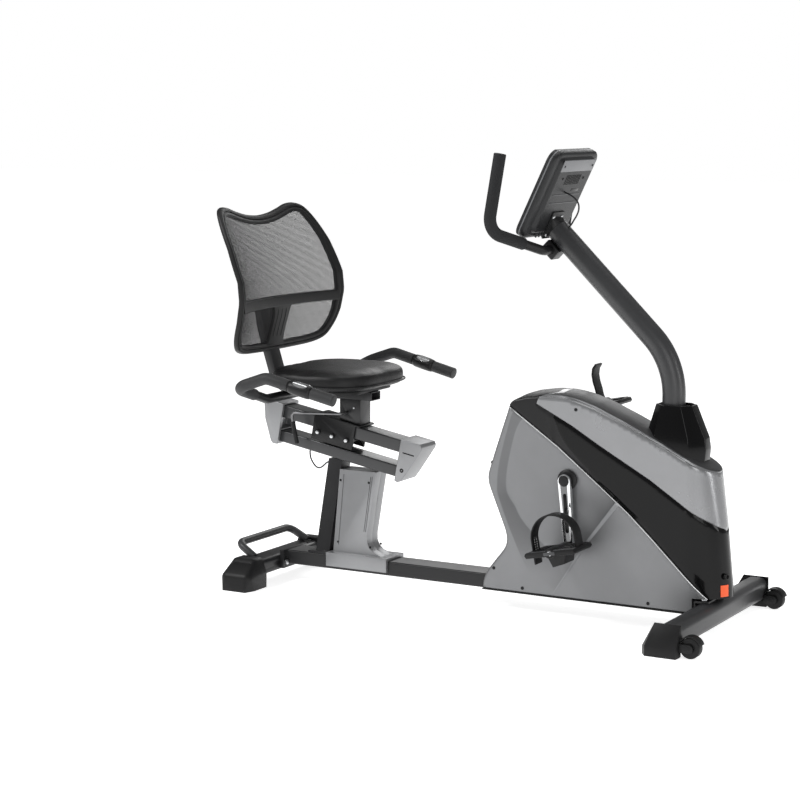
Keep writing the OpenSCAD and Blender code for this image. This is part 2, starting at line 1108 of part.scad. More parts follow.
module console_cable() {
    color("#101011")
        sweep(console_cable_pts, cable_r, 8);
}

module sensor_cable() {
    color("#101011")
        sweep(sensor_cable_pts, cable_r, 8);
}

// ---- seat carriage ----

module slider() {
    color("#222326")
        on_rail() {
            difference() {
                translate([-82, -36, -50])
                    cube([134, 72, 74]);
                translate([-90, -rail_w / 2 - 0.5, -60])
                    cube([150, rail_w + 1, 60 + upper_h / 2 + 0.5]);
            }
            translate([48, -40, upper_h / 2 + 0.8])
                cube([20, 80, 5.2]);
            // rollers below the upper rail, on bolts through the side plates
            for (x = [-62, -15, 32])
                slab(-41, 41)
                    translate([x, -upper_h / 2 - 8.6])
                        circle(r = 8);
        }
}

// the seat tube runs back under the seat and up behind the back rest
module seat_tube_outline(t) {
    polygon(concat(
        [[-350 + t, 528 + t], [-350 + t, 552 - t], [-606, 552 - t]],
        arc(-606, 612, 60 + t, 270, 202),
        [[-681 - t, 650], [-703 - t, 720], [-716 - t, 790 - t], [-736 + t, 786 - t], [-726 + t, 720]],
        [[-706 + t, 650]],
        arc(-606, 612, 84 - t, 202, 270)
    ));
}

// stem, seat tube and back rest upright, welded together
module seat_frame() {
    color("#222326") {
        difference() {
            translate([stem_x - stem_w / 2, -stem_d / 2, 440])
                cube([stem_w, stem_d, 88]);
            on_rail()
                translate([-200, -60, -60])
                    cube([400, 120, 60 + upper_h / 2 + 6.4]);
            // bore the lever rod turns in
            slab(-30, -12)
                translate(lever_at)
                    circle(r = lever_r + run_fit);
        }
        difference() {
            slab(-25, 25)
                seat_tube_outline(0);
            slab(-25 + wall, 25 - wall)
                seat_tube_outline(wall);
        }
    }
}

module seat_pan() {
    color("#1b1b1d")
        translate([seat_x, 0, 552.4])
            linear_extrude(11)
                rounded_rect(236, 250, 50);
}

function seat_outline(k) = [
    for (a = [0:10:350])
        let (c = cos(a), s = sin(a), p = 2 / 3.2)
        [seat_x + k * 160 * sign(c) * pow(abs(c), p), k * seat_half * sign(s) * pow(abs(s), p)]
];

module seat_cushion() {
    color("#1d1d1f")
        hull() {
            translate([0, 0, seat_z0])
                linear_extrude(1)
                    polygon(seat_outline(0.95));
            translate([0, 0, seat_z0 + 12])
                linear_extrude(20)
                    polygon(seat_outline(1));
            translate([0, 0, seat_z1 - 1])
                linear_extrude(1)
                    polygon(seat_outline(0.88));
        }
}

// back rest: half outline in Y and Z, and how far back it lies at a height
back_half = [
    [0, 1029], [60, 1034], [110, 1045], [150, 1056], [185, 1058], [215, 1046], [238, 1010],
    [254, 960], [263, 905], [266, 860], [266, 800], [262, 740], [250, 700], [225, 670],
    [180, 656], [100, 650], [0, 648]
];
back_line = [[640, -686], [700, -672], [750, -657], [806, -647], [860, -652], [950, -688], [1060, -746]];
function back_x0(z) = lookup(z, back_line);
back_bulge = 38;
back_side = 260;
function back_x(y, z) = back_x0(z) + back_bulge * pow(y / back_side, 2);
back_t = 18;

// a curved panel over a grid in Y and Z, from one depth behind the front to another
module back_panel(y0, y1, z0, z1, d0, d1, n, m) {
    ys = [for (i = [0:n]) y0 + (y1 - y0) * i / n];
    zs = [for (j = [0:m]) z0 + (z1 - z0) * j / m];
    cnt = (n + 1) * (m + 1);
    function at(k, i, j) = k * cnt + j * (n + 1) + i;
    pts = concat(
        [for (z = zs, y = ys) [back_x(y, z) - d0, y, z]],
        [for (z = zs, y = ys) [back_x(y, z) - d1, y, z]]
    );
    front = [for (j = [0:m - 1], i = [0:n - 1]) each
        [[at(0, i, j), at(0, i, j + 1), at(0, i + 1, j + 1)], [at(0, i, j), at(0, i + 1, j + 1), at(0, i + 1, j)]]];
    rear = [for (j = [0:m - 1], i = [0:n - 1]) each
        [[at(1, i, j), at(1, i + 1, j + 1), at(1, i, j + 1)], [at(1, i, j), at(1, i + 1, j), at(1, i + 1, j + 1)]]];
    low = [for (i = [0:n - 1]) each
        [[at(0, i, 0), at(0, i + 1, 0), at(1, i + 1, 0)], [at(0, i, 0), at(1, i + 1, 0), at(1, i, 0)]]];
    high = [for (i = [0:n - 1]) each
        [[at(0, i, m), at(1, i + 1, m), at(0, i + 1, m)], [at(0, i, m), at(1, i, m), at(1, i + 1, m)]]];
    left = [for (j = [0:m - 1]) each
        [[at(0, 0, j), at(1, 0, j), at(1, 0, j + 1)], [at(0, 0, j), at(1, 0, j + 1), at(0, 0, j + 1)]]];
    right = [for (j = [0:m - 1]) each
        [[at(0, n, j), at(1, n, j + 1), at(1, n, j)], [at(0, n, j), at(0, n, j + 1), at(1, n, j + 1)]]];
    polyhedron(points = pts, faces = concat(front, rear, low, high, left, right));
}

// the back rest's outline seen from the front, through all of its depth
module back_prism(inset) {
    translate([-900, 0, 0])
        rotate([90, 0, 90])
            linear_extrude(400)
                offset(delta = -inset)
                    polygon(concat(
                        back_half,
                        [for (i = [len(back_half) - 2:-1:1]) [-back_half[i][0], back_half[i][1]]]
                    ));
}

module back_windows(inset) {
    intersection() {
        back_prism(26 + inset);
        translate([-900, -300, 0])
            union() {
                translate([0, 0, 806 + inset])
                    cube([400, 600, 400]);
                translate([0, 0, 500])
                    cube([400, 262 - inset, 276 - inset]);
                translate([0, 338 + inset, 500])
                    cube([400, 262 - inset, 276 - inset]);
            }
    }
}

module back_frame() {
    color("#1c1c1e")
        difference() {
            intersection() {
                back_panel(-270, 270, 644, 1062, 0, back_t, 18, 16);
                back_prism(0);
            }
            back_windows(0);
            // seat for the mesh
            translate([0, 0, 0])
                intersection() {
                    back_panel(-272, 272, 642, 1064, 5, 8, 18, 16);
                    back_prism(16);
                }
            // pocket for the upright
            slab(-25.3, 25.3)
                seat_tube_outline(-0.3);
        }
}

module back_mesh() {
    color("#565758")
        difference() {
            intersection() {
                back_panel(-270, 270, 644, 1062, 5.4, 7.6, 18, 16);
                back_prism(16.4);
            }
            translate([-900, -38, 600])
                cube([400, 76, 206]);
            translate([-900, -300, 776])
                cube([400, 600, 30]);
        }
}

// two bars, each welded to one side of the seat tube
module side_bar() {
    color("#3a3b3e")
        both_sides()
            bent_tube(side_pts, side_r, 2, 40);
}

// foam over the bar, in front of the sensor and behind it
module side_grip() {
    bent_tube([side_pts[0] - 3 * side_way, side_pts[0] + (sensor_span[0] - 4) * side_way],
        grip_r, grip_r - side_r - 0.3, 10);
    bent_tube([side_pts[0] + (sensor_span[1] + 2) * side_way, side_pts[1], side_pts[2],
        side_pts[2] + 0.6 * (side_pts[3] - side_pts[2])], grip_r, grip_r - side_r - 0.3, 40);
}

module side_grips() {
    color("#2c2d30")
        both_sides()
            side_grip();
}

// hand pulse sensors: housings on the bar with metal plates
module pulse_sensors() {
    color("#c9cbce")
        both_sides()
            aim(side_pts[0] + sensor_span[0] * side_way, side_pts[0] + sensor_span[1] * side_way)
                difference() {
                    cylinder(h = 60, r = grip_r + 3);
                    translate([0, 0, -1])
                        cylinder(h = 62, r = side_r + 0.1);
                }
}

module slide_lever() {
    color("#5b5d61")
        bent_tube(lever_pts, lever_r, lever_r, 10, 12);
}

// ---- crank and pedals ----

module crank_arm() {
    difference() {
        slab(-arm_y - arm_t, -arm_y)
            hull() {
                translate(crank_at)
                    circle(r = 17);
                translate(crank_at + pedal_off)
                    circle(r = 13);
            }
        slab(-arm_y - arm_t - 1, -arm_y + 1)
            translate(crank_at)
                circle(r = axle_r);
        slab(-arm_y - arm_t - 1, -arm_y + 1)
            translate(crank_at + pedal_off)
                circle(r = pedal_pin_r);
    }
}

module crank_arms() {
    color("#d9dadc") {
        crank_arm();
        translate([crank_at[0], 0, crank_at[1]])
            rotate([0, 180, 0])
                mirror([0, 1, 0])
                    translate([-crank_at[0], 0, -crank_at[1]])
                        crank_arm();
        // pedal spindles
        for (s = [-1, 1])
            slab(min(s * arm_y, s * spindle_end), max(s * arm_y, s * spindle_end))
                translate(crank_at - s * pedal_off)
                    circle(r = pedal_pin_r);
    }
}

// pedal body around its axis, flat, with a weighted underside; local X and Z
module pedal_body() {
    difference() {
        union() {
            slab(-pedal_half, pedal_half)
                polygon([
                    [-pedal_reach, -8], [pedal_reach, -8], [pedal_reach + 4, -2],
                    [pedal_reach, 6], [-pedal_reach, 6], [-pedal_reach - 4, 0]
                ]);
            slab(-30, 30)
                polygon([[-20, -8], [34, -8], [26, -34], [-8, -40]]);
            slab(-pedal_half, pedal_half)
                circle(r = 13);
        }
        slab(-60, 60)
            circle(r = pedal_pin_r + run_fit);
        // slots for the strap
        for (s = [-1, 1])
            translate([s * (strap_r - strap_t / 2) - 2.6, -strap_half - 0.6, -20])
                cube([5.2, 2 * strap_half + 1.2, 40]);
    }
}

module at_pedal(side) {
    translate([crank_at[0] - side * pedal_off[0], side * pedal_y, crank_at[1] - side * pedal_off[1]])
        rotate([0, pedal_tilt, 0])
            children();
}

module pedal_right() {
    color("#161617")
        at_pedal(-1)
            pedal_body();
}

module pedal_left() {
    color("#161617")
        at_pedal(1)
            pedal_body();
}

// closed toe strap: an arch over the foot, with its tail below the pedal
module strap_right() {
    color("#1a1a1b")
        at_pedal(-1)
            slab(-strap_half, strap_half)
                difference() {
                    union() {
                        translate([0, 32])
                            circle(r = strap_r);
                        translate([-strap_r, -30])
                            square([2 * strap_r, 62]);
                    }
                    translate([0, 32])
                        circle(r = strap_r - strap_t);
                    translate([strap_t - strap_r, -60])
                        square([2 * (strap_r - strap_t), 92]);
                    translate([strap_r - 10, -60])
                        square([20, 58]);
                }
}

// open toe strap: it lies over the front of the pedal and stands up from its middle
module strap_left() {
    color("#1a1a1b")
        at_pedal(1)
            slab(-strap_half, strap_half)
                polygon([
                    [60, -4], [64, -4], [64, 10.2], [16.5, 10.2], [10.5, 15], [8, 24], [7, 42],
                    [4, 62], [4, 80], [9, 96], [18, 106], [14, 110], [3, 99], [-2, 82],
                    [-2, 62], [1, 42], [3, 22], [5, 13.4], [13.4, 6.2], [60, 6.2]
                ]);
}

module wheel() {
    slab(-wheel_y - wheel_half, -wheel_y + wheel_half)
        translate(wheel_pos)
            difference() {
                circle(r = wheel_r);
                circle(r = wheel_pin_r + run_fit);
            }
}

module wheel_right() {
    color("#101011")
        wheel();
}

module wheel_left() {
    color("#101011")
        mirror([0, 1, 0])
            wheel();
}

placed() main_beam();
placed() front_stabiliser();
placed() front_caps();
placed() rear_stabiliser();
placed() rear_caps();
placed() rear_handle();
placed() stabiliser_bolts();
placed() seat_post();
placed() post_cover_right();
placed() post_cover_left();
placed() lower_rail();
placed() upper_rail();
placed() rail_cap_front();
placed() rail_cap_rear();
placed() inner_frame();
placed() mast();
placed() mast_collar();
placed() housing_right();
placed() housing_left();
placed() front_band();
placed() top_cover();
placed() housing_screws();
placed() console_back();
placed() console_face();
placed() display_lens();
placed() console_bracket();
placed() handlebar();
placed() bar_grips();
placed() flywheel_axle();
placed() belt();
placed() resistance_motor();
placed() dc_socket();
placed() crank_bearings();
placed() console_cable();
placed() sensor_cable();
placed() slider();
placed() seat_frame();
placed() seat_pan();
placed() seat_cushion();
placed() back_frame();
placed() back_mesh();
placed() side_bar();
placed() side_grips();
placed() pulse_sensors();
placed() slide_lever();
placed() crank_axle();
placed() drive_pulley();
placed() crank_arms();
placed() pedal_right();
placed() pedal_left();
placed() strap_right();
placed() strap_left();
placed() flywheel();
placed() magnet_bracket();
placed() idler_pulley();
placed() wheel_right();
placed() wheel_left();
placed() dial();
placed() key_start();
placed() key_reset();
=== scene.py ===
import json
import math

import bmesh
import bpy
import numpy as np
from mathutils import Matrix, Vector
from mathutils.geometry import delaunay_2d_cdt

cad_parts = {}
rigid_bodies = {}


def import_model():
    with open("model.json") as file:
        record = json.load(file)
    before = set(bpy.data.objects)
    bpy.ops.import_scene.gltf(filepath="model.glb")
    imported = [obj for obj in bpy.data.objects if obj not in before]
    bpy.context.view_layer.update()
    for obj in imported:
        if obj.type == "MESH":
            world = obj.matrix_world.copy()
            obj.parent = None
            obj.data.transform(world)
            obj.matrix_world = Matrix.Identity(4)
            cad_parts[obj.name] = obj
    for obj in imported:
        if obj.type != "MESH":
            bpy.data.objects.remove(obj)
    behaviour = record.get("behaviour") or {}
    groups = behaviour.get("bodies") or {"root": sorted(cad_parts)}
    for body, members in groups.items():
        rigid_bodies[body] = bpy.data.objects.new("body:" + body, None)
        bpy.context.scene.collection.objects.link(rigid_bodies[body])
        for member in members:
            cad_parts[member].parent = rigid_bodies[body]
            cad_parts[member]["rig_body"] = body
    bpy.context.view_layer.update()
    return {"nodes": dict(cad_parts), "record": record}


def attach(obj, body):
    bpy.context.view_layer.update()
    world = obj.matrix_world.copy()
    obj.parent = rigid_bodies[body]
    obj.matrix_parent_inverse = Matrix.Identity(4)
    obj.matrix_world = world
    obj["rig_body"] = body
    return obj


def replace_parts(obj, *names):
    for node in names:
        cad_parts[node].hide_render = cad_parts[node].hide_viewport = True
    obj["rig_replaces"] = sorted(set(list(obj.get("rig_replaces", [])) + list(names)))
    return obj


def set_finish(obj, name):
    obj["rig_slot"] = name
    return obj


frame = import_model()
nodes = frame["nodes"]
scene = bpy.context.scene

MM = 0.001
SHIFT = 0.0077  # the row's origin is under the middle of the bike


def at(x, y, z):
    """A point of the drawing, in millimetres, as a place in the frame."""
    return Vector((x * MM + SHIFT, y * MM, z * MM))


# ---------- camera, light and floor ----------

CAMERA_AT = (2590, -5063.2, 1340)
CAMERA_TURN, CAMERA_TILT = math.radians(29.49), math.radians(7.89)


def place_camera():
    az, el = CAMERA_TURN, CAMERA_TILT
    ahead = Vector((-math.sin(az) * math.cos(el), math.cos(az) * math.cos(el), -math.sin(el)))
    data = bpy.data.cameras.new("camera")
    data.sensor_width, data.lens = 36.0, 96.1
    data.clip_end = 60
    cam = bpy.data.objects.new("camera", data)
    cam.location = at(*CAMERA_AT)
    cam.rotation_mode = "QUATERNION"
    cam.rotation_quaternion = ahead.to_track_quat("-Z", "Y")
    scene.collection.objects.link(cam)
    scene.camera = cam


def area_light(name, place, target, size, power, size_y=None):
    data = bpy.data.lights.new(name, "AREA")
    data.energy, data.size = power, size
    if size_y:
        data.shape, data.size_y = "RECTANGLE", size_y
    light = bpy.data.objects.new(name, data)
    light.location = place
    light.rotation_mode = "QUATERNION"
    light.rotation_quaternion = (Vector(target) - Vector(place)).to_track_quat("-Z", "Y")
    scene.collection.objects.link(light)


place_camera()
area_light("key", (-2.6, -2.6, 3.4), (0, 0, 0.5), 1.4, 115)
area_light("fill", (3.2, -3.6, 1.8), (0.1, 0, 0.5), 2.2, 38)
area_light("top", (0.2, 0.6, 4.0), (0, 0, 0.4), 2.6, 42)
area_light("nose", (3.4, 0.3, 1.2), (0.7, 0, 0.35), 0.5, 16, 1.8)
area_light("back", (-1.0, 3.4, 2.2), (0, 0, 0.6), 1.8, 26)

world = bpy.data.worlds.new("studio")
scene.world = world
world.use_nodes = True
world.node_tree.nodes["Background"].inputs[0].default_value = (1, 1, 1, 1)


def white_for_the_eye(strength):
    """The camera sees white all round, and the bike is lit by a dimmer sky."""
    tree = world.node_tree
    eye = tree.nodes.new("ShaderNodeLightPath")
    level = tree.nodes.new("ShaderNodeMapRange")
    level.inputs["To Min"].default_value = strength
    level.inputs["To Max"].default_value = 1.0
    tree.links.new(eye.outputs["Is Camera Ray"], level.inputs["Value"])
    tree.links.new(level.outputs[0], tree.nodes["Background"].inputs[1])


white_for_the_eye(0.28)
scene.view_settings.view_transform = "Standard"


# ---------- materials ----------

def material(name, color, rough=0.5, metal=0.0, vary=0.12, vary_scale=14.0, bump=0.0,
             bump_scale=900.0, wear=0.0, rough_vary=0.1, coat=0.0, coat_rough=0.1, aniso=0.0,
             stretch=(1, 1, 1), spec=0.5, pattern="noise", shaded=False):
    """A principled surface: colour drifts, roughness drifts, and fine grain in the bump."""
    mat = bpy.data.materials.new(name)
    mat.use_nodes = True
    tree = mat.node_tree
    shader = tree.nodes["Principled BSDF"]
    new = tree.nodes.new
    link = tree.links.new
    shader.inputs["Metallic"].default_value = metal
    shader.inputs["Coat Weight"].default_value = coat
    shader.inputs["Coat Roughness"].default_value = coat_rough
    shader.inputs["Anisotropic"].default_value = aniso
    shader.inputs["Specular IOR Level"].default_value = spec
    coord = new("ShaderNodeTexCoord")
    mapping = new("ShaderNodeMapping")
    mapping.inputs["Scale"].default_value = stretch
    link(coord.outputs["Object"], mapping.inputs["Vector"])
    drift = new("ShaderNodeTexNoise")
    drift.inputs["Scale"].default_value = vary_scale
    drift.inputs["Detail"].default_value = 5
    link(mapping.outputs[0], drift.inputs["Vector"])
    ramp = new("ShaderNodeValToRGB")
    dark = [max(0, c * (1 - vary)) for c in color]
    light = [min(1, c * (1 + vary)) for c in color]
    ramp.color_ramp.elements[0].position, ramp.color_ramp.elements[1].position = 0.3, 0.7
    ramp.color_ramp.elements[0].color = (*dark, 1)
    ramp.color_ramp.elements[1].color = (*light, 1)
    link(drift.outputs["Fac"], ramp.inputs["Fac"])
    surface = ramp.outputs["Color"]
    if wear > 0:
        geometry = new("ShaderNodeNewGeometry")
        edge = new("ShaderNodeMapRange")
        edge.inputs["From Min"].default_value = 0.52
        edge.inputs["From Max"].default_value = 0.62
        edge.inputs["To Max"].default_value = wear
        link(geometry.outputs["Pointiness"], edge.inputs["Value"])
        mix = new("ShaderNodeMix")
        mix.data_type = "RGBA"
        link(edge.outputs[0], mix.inputs["Factor"])
        link(surface, mix.inputs["A"])
        mix.inputs["B"].default_value = (*[min(1, c * 1.6 + 0.04) for c in color], 1)
        surface = mix.outputs["Result"]
    if shaded:
        # the mesh's shade attribute holds painted shade and painted highlight, which darken or lighten the colour
        painted_light_node = new("ShaderNodeAttribute")
        painted_light_node.attribute_name = "shade"
        factor = new("ShaderNodeMath")
        factor.operation = "SUBTRACT"
        factor.inputs[0].default_value = 1.0
        link(painted_light_node.outputs["Fac"], factor.inputs[1])
        scale = new("ShaderNodeVectorMath")
        scale.operation = "SCALE"
        link(surface, scale.inputs[0])
        link(factor.outputs[0], scale.inputs["Scale"])
        surface = scale.outputs[0]
    link(surface, shader.inputs["Base Color"])
    spread = new("ShaderNodeMapRange")
    spread.inputs["To Min"].default_value = max(0.02, rough - rough_vary / 2)
    spread.inputs["To Max"].default_value = min(1, rough + rough_vary / 2)
    link(drift.outputs["Fac"], spread.inputs["Value"])
    link(spread.outputs[0], shader.inputs["Roughness"])
    if bump > 0:
        if pattern == "voronoi":
            grain = new("ShaderNodeTexVoronoi")
            out = grain.outputs["Distance"]
        else:
            grain = new("ShaderNodeTexNoise")
            grain.inputs["Detail"].default_value = 3
            out = grain.outputs["Fac"]
        grain.inputs["Scale"].default_value = bump_scale
        link(mapping.outputs[0], grain.inputs["Vector"])
        relief_node = new("ShaderNodeBump")
        relief_node.inputs["Strength"].default_value = bump
        relief_node.inputs["Distance"].default_value = 0.0006
        link(out, relief_node.inputs["Height"])
        link(relief_node.outputs[0], shader.inputs["Normal"])
    return mat


M = {}


def look(name, color, rough, **more):
    M[name] = material(name, color, rough, **more)


look("beam_paint", (0.009, 0.009, 0.0098), 0.36, vary=0.15, bump=0.12, bump_scale=700, wear=0.25, spec=0.35,
     coat=0.06, coat_rough=0.3)
look("stab_paint", (0.030, 0.0305, 0.032), 0.40, vary=0.12, bump=0.12, bump_scale=700, wear=0.25, spec=0.4,
     coat=0.1, coat_rough=0.35)
look("frame_paint", (0.011, 0.011, 0.012), 0.36, vary=0.12, bump=0.1, bump_scale=800, wear=0.25, spec=0.4,
     coat=0.08, coat_rough=0.3)
look("mast_paint", (0.022, 0.0225, 0.024), 0.38, vary=0.1, bump=0.14, bump_scale=900, coat=0.2, coat_rough=0.35)
look("lever_steel", (0.20, 0.20, 0.205), 0.35, metal=0.9, vary=0.1, bump=0.1, bump_scale=900)
look("rail_paint", (0.018, 0.0185, 0.020), 0.34, vary=0.12, bump=0.1, bump_scale=800, wear=0.3, coat=0.25,
     coat_rough=0.3)
look("black_plastic", (0.006, 0.006, 0.0064), 0.46, vary=0.12, bump=0.35, bump_scale=1500, rough_vary=0.14,
     spec=0.28)
look("console_band", (0.16, 0.163, 0.17), 0.36, metal=0.3, vary=0.05, bump=0.15, bump_scale=1800)
look("silver_dark", (0.12, 0.122, 0.126), 0.38, metal=0.5, vary=0.05, bump=0.1, bump_scale=1800)
look("silver_plastic", (0.27, 0.273, 0.28), 0.36, metal=0.55, vary=0.05, bump=0.1, bump_scale=2600, coat=0.1,
     coat_rough=0.3)
# panel_plastic and gloss_silver take painted light and shade from a mesh's shade attribute; only the side panels
# store one
look("panel_plastic", (0.205, 0.208, 0.214), 0.42, shaded=True, metal=0.45, vary=0.04, bump=0.12,
     bump_scale=2600, coat=0.1, coat_rough=0.35)
look("gloss_black", (0.003, 0.003, 0.0032), 0.16, vary=0.1, rough_vary=0.05, spec=0.18, coat=0.05,
     coat_rough=0.06, bump=0.02, bump_scale=300)
look("satin_black", (0.007, 0.007, 0.0075), 0.40, vary=0.1, bump=0.25, bump_scale=1800, rough_vary=0.1,
     spec=0.3)
look("gloss_silver", (0.25, 0.253, 0.26), 0.26, shaded=True, metal=0.6, vary=0.04, bump=0.05, bump_scale=2600,
     coat=0.3, coat_rough=0.15)
look("trim_silver", (0.72, 0.725, 0.73), 0.22, metal=0.6, vary=0.03, bump=0.03, coat=0.3, coat_rough=0.12)
look("deck_grey", (0.035, 0.0355, 0.037), 0.42, vary=0.08, bump=0.18, bump_scale=1800, spec=0.3)
look("charcoal", (0.013, 0.0135, 0.0145), 0.44, vary=0.1, bump=0.4, bump_scale=1300, spec=0.35)
look("charcoal_light", (0.045, 0.046, 0.049), 0.42, vary=0.08, bump=0.3, bump_scale=1300)
look("lens", (0.10, 0.12, 0.11), 0.08, vary=0.06, bump=0.01, coat=0.9, coat_rough=0.03)
look("foam", (0.014, 0.0145, 0.0155), 0.80, vary=0.15, bump=0.9, bump_scale=420, spec=0.3, pattern="voronoi")
look("side_foam", (0.020, 0.0205, 0.0215), 0.55, vary=0.12, bump=0.6, bump_scale=700, spec=0.4,
     pattern="voronoi")
look("rubber", (0.006, 0.006, 0.0063), 0.55, vary=0.15, bump=0.3, bump_scale=900, spec=0.3)
look("cable", (0.011, 0.011, 0.012), 0.42, vary=0.1, bump=0.1, bump_scale=900)
look("screw", (0.018, 0.018, 0.019), 0.35, metal=0.7, vary=0.15, bump=0.1, bump_scale=1500)
look("zinc", (0.62, 0.63, 0.64), 0.28, metal=1.0, vary=0.1, bump=0.15, bump_scale=900, aniso=0.3)
look("steel", (0.46, 0.465, 0.475), 0.32, metal=1.0, vary=0.1, bump=0.12, bump_scale=1200, stretch=(1, 6, 1))
look("chrome", (0.80, 0.81, 0.82), 0.08, metal=1.0, vary=0.02, rough_vary=0.05, bump=0.01, bump_scale=200)
look("iron", (0.15, 0.15, 0.155), 0.45, metal=0.9, vary=0.15, bump=0.4, bump_scale=600)
look("vinyl", (0.006, 0.006, 0.0064), 0.40, vary=0.12, bump=0.5, bump_scale=620, rough_vary=0.12, spec=0.3,
     pattern="voronoi")
look("thread", (0.016, 0.016, 0.017), 0.75, vary=0.2, vary_scale=60, bump=0.4, bump_scale=2400, spec=0.3)
look("stitch", (0.028, 0.028, 0.03), 0.7, vary=0.2, bump=0.5, bump_scale=2000)
look("sticker", (0.85, 0.10, 0.015), 0.45, vary=0.04, bump=0.05, bump_scale=900)
look("white_hole", (0.55, 0.55, 0.55), 0.6, vary=0.04, bump=0.05)


def paint(obj, *names):
    obj.data.materials.clear()
    for n in names:
        obj.data.materials.append(M[n])


# ---------- mesh helpers ----------

def piece(name, body, slot, mats, verts, faces, smooth=40, replaces=(), merge=None, bevel=None):
    """A mesh from points and faces, dressed for the frame."""
    mesh = bpy.data.meshes.new(name)
    mesh.from_pydata([tuple(v) for v in verts], [], faces)
    mesh.update()
    obj = bpy.data.objects.new(name, mesh)
    scene.collection.objects.link(obj)
    return dress(obj, body, slot, mats, smooth, replaces, merge, bevel)


def dress(obj, body, slot, mats, smooth=40, replaces=(), merge=None, bevel=None):
    """Cleans a new mesh, bevels it, smooths it, paints it and hangs it on its body."""
    mesh = obj.data
    bm = bmesh.new()
    bm.from_mesh(mesh)
    if merge:
        bmesh.ops.remove_doubles(bm, verts=bm.verts, dist=merge)
    if len([e for e in bm.edges if e.is_boundary]) == 0:
        bmesh.ops.recalc_face_normals(bm, faces=bm.faces)
    if bevel:
        limit = math.radians(bevel[2] if len(bevel) > 2 else 28)
        sharp = [e for e in bm.edges if len(e.link_faces) == 2 and e.calc_face_angle(0) > limit]
        bmesh.ops.bevel(bm, geom=sharp, offset=bevel[0], segments=bevel[1], profile=0.5,
                        affect="EDGES", clamp_overlap=True)
    bm.to_mesh(mesh)
    bm.free()
    smooth_by(mesh, smooth)
    if isinstance(mats, str):
        mats = (mats,)
    keep = [p.material_index for p in mesh.polygons]
    paint(obj, *mats)
    for p, k in zip(mesh.polygons, keep):
        p.material_index = min(k, len(mats) - 1)
    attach(obj, body)
    if slot:
        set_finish(obj, slot)
    if replaces:
        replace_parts(obj, *([replaces] if isinstance(replaces, str) else replaces))
    return obj


def smooth_by(mesh, angle):
    """Smooth shading, with edges sharper than angle kept sharp."""
    for p in mesh.polygons:
        p.use_smooth = True
    bm = bmesh.new()
    bm.from_mesh(mesh)
    limit = math.radians(angle)
    for e in bm.edges:
        e.smooth = not (len(e.link_faces) == 2 and e.calc_face_angle(0) > limit)
    bm.to_mesh(mesh)
    bm.free()


def apply_modifiers(obj):
    dg = bpy.context.evaluated_depsgraph_get()
    done = bpy.data.meshes.new_from_object(obj.evaluated_get(dg))
    old = obj.data
    obj.modifiers.clear()
    obj.data = done
    bpy.data.meshes.remove(old)


def join(name, objs, body=None, slot=None, replaces=()):
    """Several dressed pieces become one object, each keeping its own material."""
    first = objs[0]
    mats, verts, faces, index, sharp = [], [], [], [], []
    for o in objs:
        base = len(verts)
        verts += [o.matrix_world @ v.co for v in o.data.vertices]
        for p in o.data.polygons:
            faces.append([base + i for i in p.vertices])
            mat = o.data.materials[p.material_index]
            if mat not in mats:
                mats.append(mat)
            index.append(mats.index(mat))
        sharp += [(base + e.vertices[0], base + e.vertices[1]) for e in o.data.edges if e.use_edge_sharp]
    mesh = bpy.data.meshes.new(name)
    mesh.from_pydata([tuple(v) for v in verts], [], faces)
    mesh.update()
    for m in mats:
        mesh.materials.append(m)
    for p, k in zip(mesh.polygons, index):
        p.material_index = k
        p.use_smooth = True
    marked = {tuple(sorted(e)) for e in sharp}
    for e in mesh.edges:
        e.use_edge_sharp = tuple(sorted(e.vertices)) in marked
    obj = bpy.data.objects.new(name, mesh)
    scene.collection.objects.link(obj)
    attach(obj, body or first["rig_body"])
    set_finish(obj, slot or first["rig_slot"])
    hidden = set([replaces] if isinstance(replaces, str) else replaces)
    for o in objs:
        hidden |= set(o.get("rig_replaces", []))
        bpy.data.objects.remove(o)
    if hidden:
        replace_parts(obj, *sorted(hidden))
    return obj


def rounded_path(points, radii, step=6.0):
    """A path through the points with its corners turned into arcs; millimetres."""
    pts = [np.array(p, float) for p in points]
    if isinstance(radii, (int, float)):
        radii = [radii] * len(pts)
    out = [pts[0]]
    for i in range(1, len(pts) - 1):
        a, b, c = pts[i - 1], pts[i], pts[i + 1]
        u, v = (a - b) / np.linalg.norm(a - b), (c - b) / np.linalg.norm(c - b)
        ang = math.acos(max(-1, min(1, float(u @ v))))
        if math.pi - ang < 0.01:
            out.append(b)
            continue
        r = radii[i]
        d = min(r / math.tan(ang / 2), 0.49 * np.linalg.norm(a - b), 0.49 * np.linalg.norm(c - b))
        r = d * math.tan(ang / 2)
        bis = (u + v) / np.linalg.norm(u + v)
        centre = b + bis * (r / math.sin(ang / 2))
        p0, p1 = b + u * d, b + v * d
        sweep_angle = math.pi - ang
        e0 = (p0 - centre) / r
        e1 = (p1 - centre) / r
        n = max(4, int(r * sweep_angle / step))
        for k in range(n + 1):
            t = k / n
            s = math.sin(sweep_angle)
            w = (math.sin((1 - t) * sweep_angle) * e0 + math.sin(t * sweep_angle) * e1) / s
            out.append(centre + r * w)
    out.append(pts[-1])
    clean = [out[0]]
    for p in out[1:]:
        if np.linalg.norm(p - clean[-1]) > 0.05:
            clean.append(p)
    return clean


def spline(a, b, c, d, t):
    """A place between b and c on the smooth curve through a, b, c and d."""
    return 0.5 * (2 * b + (c - a) * t + (2 * a - 5 * b + 4 * c - d) * t * t + (3 * b - a - 3 * c + d) * t ** 3)


def catmull(points, n=8):
    """A smooth curve through the points, with n places to each stretch."""
    p = [np.array(q, float) for q in points]
    p = [2 * p[0] - p[1]] + p + [2 * p[-1] - p[-2]]
    out = []
    for i in range(1, len(p) - 2):
        out += [spline(p[i - 1], p[i], p[i + 1], p[i + 2], k / n) for k in range(n)]
    out.append(p[-2])
    return out


